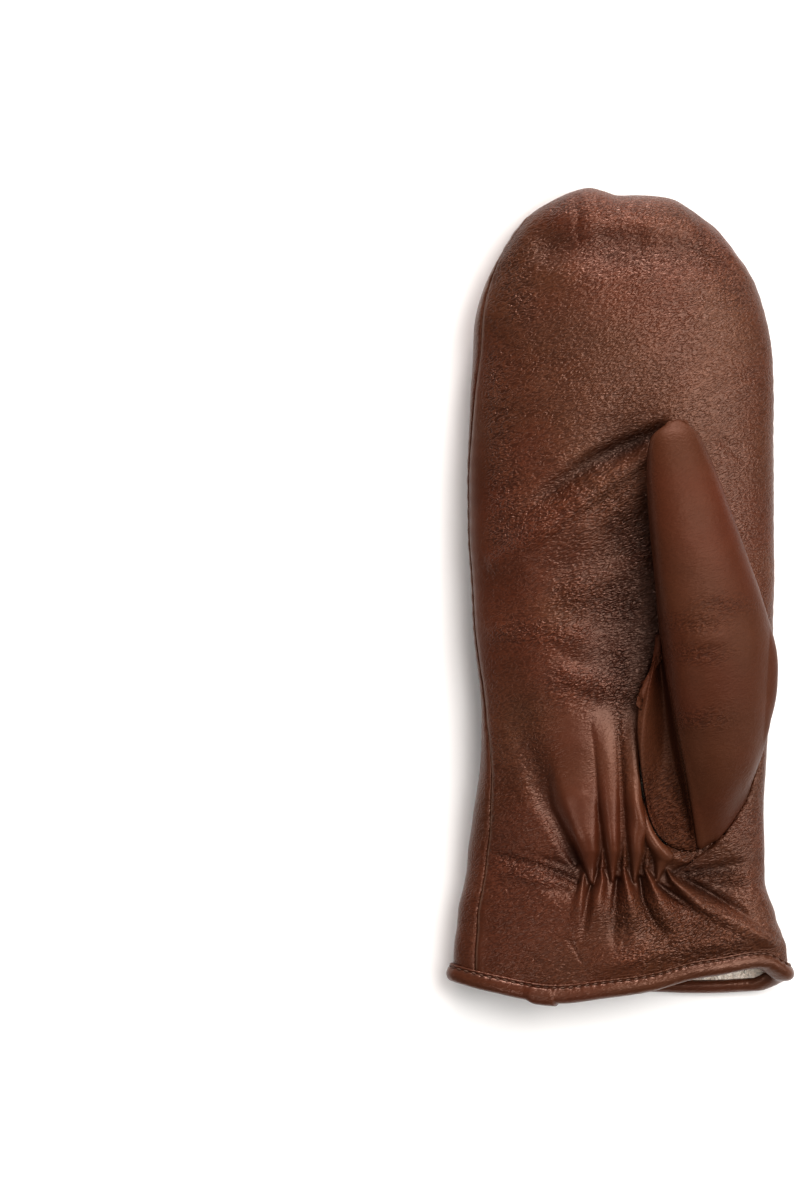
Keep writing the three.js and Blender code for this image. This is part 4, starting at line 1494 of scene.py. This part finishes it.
    def grain(self, base: Array) -> Array:
        """Works out how strong the grain is: faint where the leather is stretched over tubes and edges.

        Args:
            base: The panel's grid.

        Returns:
            The strength at each point.
        """
        patches = 0.8 + self.grain_patches.at(base)
        if self.side is Side.DOWN:
            return self.grain_back * patches
        grain = np.full(base.shape[:2], self.grain_usual)
        for patch in SLACK:
            slack = 1 - smoothstep(self.line_distance(base, patch), 0.0, patch.width * MM)
            grain = grain + (self.grain_slack - grain) * patch.strength * slack
        grain = grain * patches * smoothstep(base[..., 0] / self.skin.half, *self.grain_edge)
        for tube in TUBES:
            distance = self.line_distance(base, tube)
            grain = grain * (1 - 0.8 * np.clip(1.4 - distance / (max(tube.widths) * MM), 0, 1))
        return grain

    def line_distance(self, base: Array, line: SlackPatch | Fold) -> Array:
        """Measures in plan from the line of a patch or a fold.

        Args:
            base: The panel's grid.
            line: What the line belongs to.

        Returns:
            Each point's distance from the line.
        """
        (x0, y0), (x1, y1) = self.skin.place(*line.start), self.skin.place(*line.end)
        dx, dy = base[..., 0] - x0, base[..., 1] - y0
        share = np.clip((dx * (x1 - x0) + dy * (y1 - y0)) / ((x1 - x0) ** 2 + (y1 - y0) ** 2), 0, 1)
        return np.hypot(dx - share * (x1 - x0), dy - share * (y1 - y0))

    def surface_relief(self, base: Array, edge: Array, rise: Array) -> Array:
        """Rolls the edges into the seams and adds puckers and soft waves.

        Args:
            base: The panel's grid.
            edge: Each point's distance from the nearest seam.
            rise: From 0 at the hem to 1 at the fingertips.

        Returns:
            The height that they add.
        """
        roll = np.clip(1 - edge / self.seam_roll, 0, 1) ** 2
        relief = -self.seam_depth * roll
        relief = relief + self.seam_lip * np.exp(-(((edge - 1.6 * self.seam_roll) / self.seam_roll) ** 2))
        waver = self.pucker_waver.at(base)
        pucker = np.cos(2 * math.pi * (base[..., 1] / self.pucker_pitch + waver))
        reach = np.clip(1 - edge / self.pucker_reach, 0, 1) * np.clip(edge / self.seam_roll, 0, 1)
        relief = relief + self.pucker_height * pucker * reach * (self.pucker_waver.height + waver)
        for wave in self.waves:
            relief = relief + wave.at(base)
        return relief * smoothstep(rise, 0.0, 0.015)

    def cut_hole(self, base: Array) -> tuple[Array, Array, Array, Array]:
        """Cuts the thumb's hole, with the points beside it moved onto its outline.

        Args:
            base: The palm's grid.

        Returns:
            The moved grid, which of its points stay, which lie on the outline, and each point's
            distance from the outline.
        """
        base = base.copy()
        centre = self.thumb.hole_centre()
        offset = base[..., :2] - centre
        radius = np.linalg.norm(offset, axis=-1)
        scale = self.thumb.hole_scale(base[..., 0], base[..., 1])
        wanted = radius / np.maximum(scale, TINY) + self.hole_gap
        outside = radius >= wanted
        grown = np.zeros_like(outside)
        for down in (-1, 0, 1):
            for over in (-1, 0, 1):
                grown |= np.roll(outside, (down, over), axis=(0, 1))
        moved = grown & ~outside
        stretch = np.where(moved, wanted / np.maximum(radius, TINY), 1)[..., None]
        base[..., :2] = np.where(moved[..., None], centre + offset * stretch, base[..., :2])
        base[..., 2] = np.where(moved, self.skin.palm_height(base[..., 0], base[..., 1], True), base[..., 2])
        return base, outside | moved, moved, np.maximum(radius - wanted, 0)

    def rim_relief(self, distance: Array, base: Array) -> Array:
        """Shapes the rolled rim of the thumb hole, with its lip on the cuff's side.

        Args:
            distance: Each point's distance from the hole's edge.
            base: The panel's grid.

        Returns:
            The height that the rim adds.
        """
        low = smoothstep(-base[..., 1], *self.lip_span) * (1 - smoothstep(base[..., 0], *self.lip_side))
        roll = -self.hole_roll * np.clip(1 - distance / self.hole_roll_width, 0, 1) ** 2
        lip = np.exp(-(((distance - self.lip_place) / self.lip_width) ** 2))
        return roll + mix(self.lip_low, self.lip_height, low) * lip

    def shade(self, base: Array, smooth: Array, relief: Array) -> Array:
        """How light the leather is painted, from 0, painted shade in deep valleys and rolled seams, to 1,
        painted light on ridges.
        """
        height = base[..., 2] - smooth[..., 2] if self.side is Side.UP else np.zeros_like(relief)
        return np.clip(0.5 + height / self.fold_shade + relief / self.relief_shade, 0, 1)


@dataclass
class ThumbPanel:
    """One of the thumb's two panels.

    Args:
        name: Its name and its CAD node's.
        side: Which way it faces.
        finish: Its leather.
        rows: How many rows its grid has from the base to the tip.
        columns: How many columns its grid has between its seams.
        wall: The leather's thickness.
        skin: The skin that it lies on.
        seam_roll: How wide its edges roll into the seams.
        seam_depth: How deep they roll.
        seam_lip: How high the leather stands beside the roll.
        waves: Soft waves and fine dimples in the leather.
        collar: How deep the base goes down through the palm's hole, for a collar step of 1.
        collar_steps: The rows of that collar, downwards from the palm.
        grain_span: Where the gusset's grain starts and is full, as distances towards the cuff.
        grain_gusset: How strong the gusset's grain is at both places.
        grain_outer: How strong the outer panel's grain is, plain and on a bend crease.
        crease_reach: How far a crease draws up the grain, across and along.
        shade: The relief that takes the painted shade from middle to light.
    """

    name: str
    side: Side
    finish: LeatherFinish
    rows: int = 220
    columns: int = 110
    wall: float = 1.2 * MM
    skin: ThumbSkin = field(default_factory=ThumbSkin)
    seam_roll: float = 1.2 * MM
    seam_depth: float = 0.5 * MM
    seam_lip: float = 0.18 * MM
    waves: tuple[Waves, ...] = (Waves(60, 21.0, 0.22 * MM), Waves(200, 5.0, 0.05 * MM))
    collar: float = 1.0 * MM
    collar_steps: Triple = (-1.6, -0.9, -0.3)
    grain_span: Span = (50 * MM, 72 * MM)
    grain_gusset: Span = (0.2, 0.85)
    grain_outer: Span = (0.1, 0.4)
    crease_reach: Span = (11 * MM, 4 * MM)
    shade: float = 7 * MM

    def build(self) -> bpy.types.Object:
        """Builds the panel.

        Returns:
            The panel.
        """
        share = np.sin(np.linspace(0, math.pi / 2, self.rows))[:, None] ** 0.95
        spread = np.linspace(0, 1, self.columns)[None, :]
        turn = 0.5 * spread if self.side is Side.UP else 1 - 0.5 * spread**1.5
        base = self.with_collar(self.skin.point(*np.broadcast_arrays(turn, share), self.side))
        normal = grid_normals(base)
        normal *= np.sign(np.sum(normal[..., 2] * self.side.value)) or 1
        relief = self.surface_relief(base)
        points = base + normal * relief[..., None]
        bm = grid_mesh(points, self.side)
        piece = new_piece(self.name, bm, self.finish.make(), [self.name])
        # The relief attribute carries painted shade in the seam rolls and bend creases and painted light on
        # the swell.
        write_attribute(piece, "relief", np.clip(0.5 + relief / self.shade, 0, 1).reshape(-1))
        write_attribute(piece, "raw_edge", np.zeros(relief.size))
        write_attribute(piece, "grain", self.grain(base).reshape(-1))
        thicken(piece, self.wall)
        return piece

    def grain(self, base: Array) -> Array:
        """Works out how strong the grain is: faint on the stretched outer panel, full on the gusset.

        Args:
            base: The panel's grid.

        Returns:
            The strength at each point.
        """
        if self.side is Side.DOWN:
            return mix(*self.grain_gusset, smoothstep(-base[..., 1], *self.grain_span))
        creases = np.zeros(base.shape[:2])
        for crease in THUMB_CREASES:
            middle = (np.array(self.skin.hand.place(*crease.start)) + self.skin.hand.place(*crease.end)) / 2
            distance = np.linalg.norm((base[..., :2] - middle) / self.crease_reach, axis=-1)
            creases = np.maximum(creases, np.clip(1.3 - distance, 0, 1))
        return mix(*self.grain_outer, creases)

    def with_collar(self, base: Array) -> Array:
        """Adds the rows that go down through the palm's hole.

        Args:
            base: The panel's grid.

        Returns:
            The grid with its collar.
        """
        below = base[:1].repeat(3, axis=0)
        below[..., 2] += np.array(self.collar_steps)[:, None] * self.collar
        return np.concatenate([below, base])

    def surface_relief(self, base: Array) -> Array:
        """Rolls the edges into the seams and adds the bend creases.

        Args:
            base: The panel's grid.

        Returns:
            The height that they add.
        """
        edge = edge_distance(base)
        relief = -self.seam_depth * np.clip(1 - edge / self.seam_roll, 0, 1) ** 2
        relief = relief + self.seam_lip * np.exp(-(((edge - 1.6 * self.seam_roll) / self.seam_roll) ** 2))
        if self.side is Side.UP:
            relief = relief + self.skin.hand.fold_height(base[..., 0], base[..., 1], THUMB_FOLDS)
        for wave in self.waves:
            relief = relief + wave.at(base)
        return relief


@dataclass(frozen=True)
class BandPoint:
    """One point of the binding's section: its inset from the skin and its height above the hem."""

    inset: float
    up: float


BAND_SECTION = (
    BandPoint(-0.2, 4.3),
    BandPoint(-0.7, 4.5),
    BandPoint(-1.1, 4.2),
    BandPoint(-1.05, 3.8),
    BandPoint(-0.75, 3.45),
    BandPoint(-1.45, 2.9),
    BandPoint(-2.05, 1.7),
    BandPoint(-2.2, 0.3),
    BandPoint(-1.7, -1.0),
    BandPoint(-0.4, -1.8),
    BandPoint(1.6, -2.0),
    BandPoint(3.6, -1.6),
    BandPoint(4.8, -0.4),
    BandPoint(5.0, 1.2),
    BandPoint(4.6, 3.2),
    BandPoint(3.9, 4.2),
    BandPoint(3.4, 4.0),
)
STITCH_LINE = BandPoint(-1.0, 3.45)


@dataclass
class CuffBinding:
    """The folded leather strip round the hem, with its stitches.

    Args:
        finish: Its leather.
        skin: The hand's skin, which it follows.
        steps: How many steps its grid has round the hem.
        section_steps: How many it has round its section.
        tail: Where the strip's overlapping end starts and stops, as shares of the way round.
        tail_edges: How sharply the end starts and stops.
        tail_height: How far the end stands out and how far it reaches down.
        stitch_pitch: The distance between stitches.
        stitch_length: Each stitch's length.
        stitch_radius: Half its thickness.
        stitch_ahead: How far ahead a stitch's direction is read.
        stitch_pull: How deep each stitch pulls the strip in.
        groove_width: Half the width of the groove that the stitches lie in.
        outer_from: How far outside the skin the strip is fully its outer side.
        inner_from: How far inside the skin its inner side starts.
        back_grip: How much shorter the inner side is on the back of the hand.
        waver: The noise that makes the strip uneven.
        grain: How strong its grain is.
        line_steps: How finely the line of stitches is measured.
    """

    finish: LeatherFinish
    skin: HandSkin = field(default_factory=HandSkin)
    steps: int = 720
    section_steps: int = 56
    tail: Span = (0.3136, 0.335)
    tail_edges: Span = (0.002, 0.012)
    tail_height: Span = (0.7 * MM, 0.9 * MM)
    stitch_pitch: float = 2.7 * MM
    stitch_length: float = 1.9 * MM
    stitch_radius: float = 0.3 * MM
    stitch_ahead: float = 0.5 * MM
    stitch_pull: float = 0.16 * MM
    groove_width: float = 0.8 * MM
    outer_from: float = 1.5 * MM
    inner_from: float = 2.5 * MM
    back_grip: float = 0.4
    waver: Waves = Waves(60, 31.0, 0.25 * MM)
    grain: float = 0.14
    line_steps: int = 4000

    def section(self) -> tuple[Array, Array]:
        """Runs a smooth closed curve through the band's section.

        Returns:
            The insets from the skin and the heights above the hem.
        """
        count = len(BAND_SECTION)
        places = np.arange(-2, count + 3)
        at = np.linspace(0, count, self.section_steps)
        columns = (column(BAND_SECTION, name)[places % count] * MM for name in ("inset", "up"))
        inset, up = (smooth_curve(places.astype(float), values, at) for values in columns)
        return inset, up

    def skin_at(self, turn: Array, inset: Array, up: Array) -> Array:
        """Places the band's points on the hand's skin.

        Args:
            turn: Round the hem, as for the hand's section.
            inset: How far they lie inside the skin.
            up: How far they lie above the hem.

        Returns:
            An array of points.
        """
        points = self.skin.point(turn, np.maximum(up, 0) / self.skin.length, inset)
        points[..., 1] += np.minimum(up, 0)
        return points

    def build(self) -> bpy.types.Object:
        """Builds the strip.

        Returns:
            The strip.
        """
        turn = np.linspace(0, 1, self.steps)[:, None]
        inset, up = (values[None, :] for values in self.section())
        middle = self.skin_at(turn, 0.0, 0.0)
        run = row_distance(np.broadcast_to(middle, (self.steps, 1, 3)), 0)
        outer = np.clip(-inset / self.outer_from, 0, 1)
        pinch = np.cos(2 * math.pi * run / self.stitch_pitch)
        groove = np.exp(-(((up - STITCH_LINE.up * MM) / self.groove_width) ** 2)) * outer
        (start, end), (sharp, soft) = self.tail, self.tail_edges
        tail = smoothstep(turn, start, start + sharp) * (1 - smoothstep(turn, end, end + soft))
        out, down = self.tail_height
        inset = inset + groove * pinch * self.stitch_pull - tail * outer * out
        up = up - tail * down * np.clip(-up / self.outer_from, 0, 1)
        low = 1 - self.back_grip * smoothstep(-np.sin(turn * 2 * math.pi), -0.1, 0.5)
        up = np.where((inset > self.inner_from) & (up > 0), up * low, up)
        points = self.skin_at(turn, inset, up)
        points[..., 2] += self.waver.at(points) * outer * np.sign(np.sin(turn * 2 * math.pi))
        points[-1], points[:, -1] = points[0], points[:, 0]
        points[..., 2] = np.maximum(points[..., 2], 0.0)
        bm = closed_mesh(points)
        piece = new_piece("cuff_binding", bm, self.finish.make(), ["cuff_binding"])
        for name, value in (("grain", self.grain), ("raw_edge", 0.0)):
            write_attribute(piece, name, np.full(len(piece.data.vertices), value))
        # The relief attribute carries painted shade in the stitch groove, darkest where the stitches pull the
        # strip in.
        write_attribute(piece, "relief", self.relief(piece, points, 0.5 - groove * (0.3 + 0.2 * pinch)))
        return piece

    def relief(self, piece: bpy.types.Object, points: Array, values: Array) -> Array:
        """Finds each vertex's value from the nearest point of the grid that it came from.

        Args:
            piece: The strip.
            points: The grid.
            values: The grid's values.

        Returns:
            A value for each vertex.
        """
        tree = KDTree(points[..., 0].size)
        for index, point in enumerate(points.reshape(-1, 3)):
            tree.insert(point, index)
        tree.balance()
        flat = np.broadcast_to(values, points.shape[:2]).reshape(-1)
        return np.array([flat[tree.find(vertex.co)[1]] for vertex in piece.data.vertices])

    def stitches(self, material: bpy.types.Material) -> bpy.types.Object:
        """Lays a row of stitches in the band's groove, all round the hem.

        Args:
            material: The thread's.

        Returns:
            The stitches, as one piece.
        """
        turn = np.linspace(0, 1, self.line_steps)
        line = self.skin_at(turn, np.full_like(turn, STITCH_LINE.inset * MM), STITCH_LINE.up * MM)
        run = row_distance(line[:, None], 0)[:, 0]
        count = int(run[-1] / self.stitch_pitch)
        bm = bmesh.new()
        for index in range(count):
            at = (index + 0.5) * run[-1] / count
            middle, ahead = (
                Vector([np.interp(at + step, run, line[:, axis]) for axis in range(3)])
                for step in (0.0, self.stitch_ahead)
            )
            turned = (ahead - middle).to_track_quat("X", "Z").to_matrix().to_4x4()
            size = Matrix.Diagonal((self.stitch_length / 2, self.stitch_radius, self.stitch_radius, 1))
            bmesh.ops.create_uvsphere(
                bm, u_segments=6, v_segments=5, radius=1, matrix=Matrix.Translation(middle) @ turned @ size
            )
        return new_piece("hem_stitches", bm, material, [])


@dataclass
class Lining:
    """The fleece bag inside the hand, with its pile at the opening.

    Args:
        skin: The hand's skin, which it lies under.
        rows: How many rows its grid has from the hem to the tip.
        columns: How many columns it has round the hand.
        leather: The thickness of the leather round it.
        gap: The gap between the two.
        room: The room that the deepest folds take.
        edge_pile: The fleece's thickness under the binding.
        pile: Its thickness further in.
        rise_length: Over what length it swells from the one to the other.
        curls: The noise of its curls, coarse and fine, as shares of their height.
        curl_height: How high the curls stand.
    """

    skin: HandSkin = field(default_factory=HandSkin)
    rows: int = 180
    columns: int = 200
    leather: float = 1.5 * MM
    gap: float = 0.4 * MM
    room: float = 1.6 * MM
    edge_pile: float = 1.2 * MM
    pile: float = 2.8 * MM
    rise_length: float = 10 * MM
    curls: tuple[Waves, Waves] = (Waves(420, 2.0, 0.7), Waves(900, 9.0, 0.4))
    curl_height: float = 0.6 * MM

    def inset(self, rise: Array) -> Array:
        """Works out how far the fleece's surface lies inside the skin.

        Args:
            rise: From 0 at the hem to 1 at the fingertips.

        Returns:
            The inset, thin under the binding and full further in.
        """
        thin = self.leather + self.gap + self.edge_pile
        full = self.leather + self.gap + self.room + self.pile
        height = self.skin.binding_height
        return mix(thin, full, smoothstep(rise * self.skin.length, height, height + self.rise_length))

    def build(self, material: bpy.types.Material) -> bpy.types.Object:
        """Builds the bag from its pile's surface outwards.

        Args:
            material: The fleece's.

        Returns:
            The bag.
        """
        rise = np.sin(np.linspace(0, math.pi / 2, self.rows))[:, None] ** 1.3
        turn, rise = np.broadcast_arrays(np.linspace(0, 1, self.columns)[None, :], rise)
        points = self.skin.point(turn, rise, self.inset(rise))
        inward = np.array([0.0, 0.0, self.skin.hand_depth * self.skin.edge_height]) - points
        inward[..., 1] = 0
        inward /= np.maximum(np.linalg.norm(inward, axis=-1, keepdims=True), TINY)
        coarse, fine = (wave.at(points) for wave in self.curls)
        fade = smoothstep(rise, 0.0, 0.03) * (1 - smoothstep(rise, 0.97, 1.0))
        points = points + inward * ((coarse + fine) * fade * self.curl_height)[..., None]
        points[:, -1] = points[:, 0]
        bm = closed_mesh(points)
        bmesh.ops.reverse_faces(bm, faces=bm.faces)
        piece = new_piece("lining", bm, material, ["lining"])
        thicken(piece, self.edge_pile)
        return piece


@dataclass(frozen=True)
class Lamp:
    """A soft square light that faces the middle of the floor.

    Args:
        name: Its name.
        place: Where it hangs.
        size: The length of its sides.
        power: Its power, in watts.
        color: Its colour.
    """

    name: str
    place: Triple
    size: float
    power: float
    color: Color = PLAIN


LAMPS = (
    Lamp("key_light", (0.48, 0.3, 1.2), 0.8, 14.5, (1.0, 0.97, 0.94)),
    Lamp("rim_light", (0.2, 2.2, 0.72), 0.8, 47, (1.0, 0.87, 0.83)),
    Lamp("side_light", (0.95, -0.3, 0.8), 0.5, 4),
    Lamp("front_light", (-0.4, -0.6, 1.3), 0.3, 2.5),
)


@dataclass
class Studio:
    """The pale floor, the soft light and the camera.

    Args:
        distance: The camera's height over the floor.
        pixel: The size of one of the photograph's pixels on the mitten.
        photo_size: The photograph's width and height, in pixels.
        mitten_middle: Where the mitten's middle lies in it, in pixels.
        sensor: The camera's sensor width, in millimetres.
        view_height: The height over the floor at which the pixels are measured.
        sky: The colour of the light from all round.
        sky_strength: Its strength.
    """

    distance: float = 1.6
    pixel: float = 270 * MM / 817
    photo_size: tuple[int, int] = (800, 1200)
    mitten_middle: Span = (621.5, 594.5)
    sensor: float = 36.0
    view_height: float = 0.02
    sky: Color = (1, 0.96, 0.92)
    sky_strength: float = 0.23

    def floor(self) -> bpy.types.Object:
        """Lays the floor.

        Returns:
            The floor.
        """
        bm = bmesh.new()
        bmesh.ops.create_grid(bm, x_segments=8, y_segments=8, size=3)
        mesh = bpy.data.meshes.new("floor")
        bm.to_mesh(mesh)
        bm.free()
        nodes = NodeTree("floor")
        tone = nodes.ramp(nodes.noise(3, 2), (0.3, (0.93, 0.93, 0.93)), (0.7, (0.95, 0.95, 0.95)))
        mesh.materials.append(nodes.finish({"Base Color": tone, "Roughness": 0.9, "Specular IOR Level": 0.1}))
        floor = bpy.data.objects.new("floor", mesh)
        bpy.context.collection.objects.link(floor)
        return floor

    def hang(self, lamp: Lamp) -> None:
        """Hangs a lamp.

        Args:
            lamp: What it is like.
        """
        data = bpy.data.lights.new(lamp.name, "AREA")
        data.size, data.energy, data.color = lamp.size, lamp.power, lamp.color
        light = bpy.data.objects.new(lamp.name, data)
        light.location = lamp.place
        light.rotation_euler = (-Vector(lamp.place)).to_track_quat("-Z", "Y").to_euler()
        bpy.context.collection.objects.link(light)

    def light(self) -> None:
        """Lights the scene softly, most from beyond the fingertips on the thumb side."""
        for lamp in LAMPS:
            self.hang(lamp)
        bpy.context.scene.view_settings.view_transform = "Standard"
        bpy.context.scene.view_settings.look = "Medium High Contrast"
        world = bpy.data.worlds.new("studio")
        world.use_nodes = True
        background = world.node_tree.nodes["Background"]
        background.inputs["Color"].default_value = (*self.sky, 1)
        background.inputs["Strength"].default_value = self.sky_strength
        bpy.context.scene.world = world

    def camera(self) -> None:
        """Hangs the camera straight above the middle of the photograph."""
        data = bpy.data.cameras.new("camera")
        data.type = "PERSP"
        data.sensor_width = self.sensor
        width, height = self.photo_size
        frame_height = height * self.pixel
        data.lens = self.sensor * (self.distance - self.view_height) / frame_height
        camera = bpy.data.objects.new("camera", data)
        x = (width / 2 - self.mitten_middle[0]) * self.pixel
        y = (self.mitten_middle[1] - height / 2) * self.pixel
        camera.location = (x, y, self.distance)
        bpy.context.collection.objects.link(camera)
        bpy.context.scene.camera = camera


def plain(box: Sequence) -> list:
    """Turns a box into plain lists of numbers."""
    return [[float(value) for value in corner] for corner in box]


def main() -> None:
    """Builds and dresses the mitten, piece by piece."""
    logging.basicConfig(level=logging.INFO, format="%(name)s: %(message)s")
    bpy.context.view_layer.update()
    studio = Studio()
    studio.floor()
    studio.light()
    studio.camera()
    HandPanel("palm_panel", Side.UP, HAND_LEATHER).build()
    HandPanel("back_panel", Side.DOWN, HAND_LEATHER, rows=220, columns=150).build()
    ThumbPanel("thumb_outer", Side.UP, THUMB_LEATHER).build()
    ThumbPanel("thumb_inner", Side.DOWN, THUMB_LEATHER).build()
    binding = CuffBinding(BINDING_LEATHER)
    binding.build()
    binding.stitches(ThreadFinish().make())
    Lining().build(FleeceFinish().make())


if __name__ == "__main__":
    main()
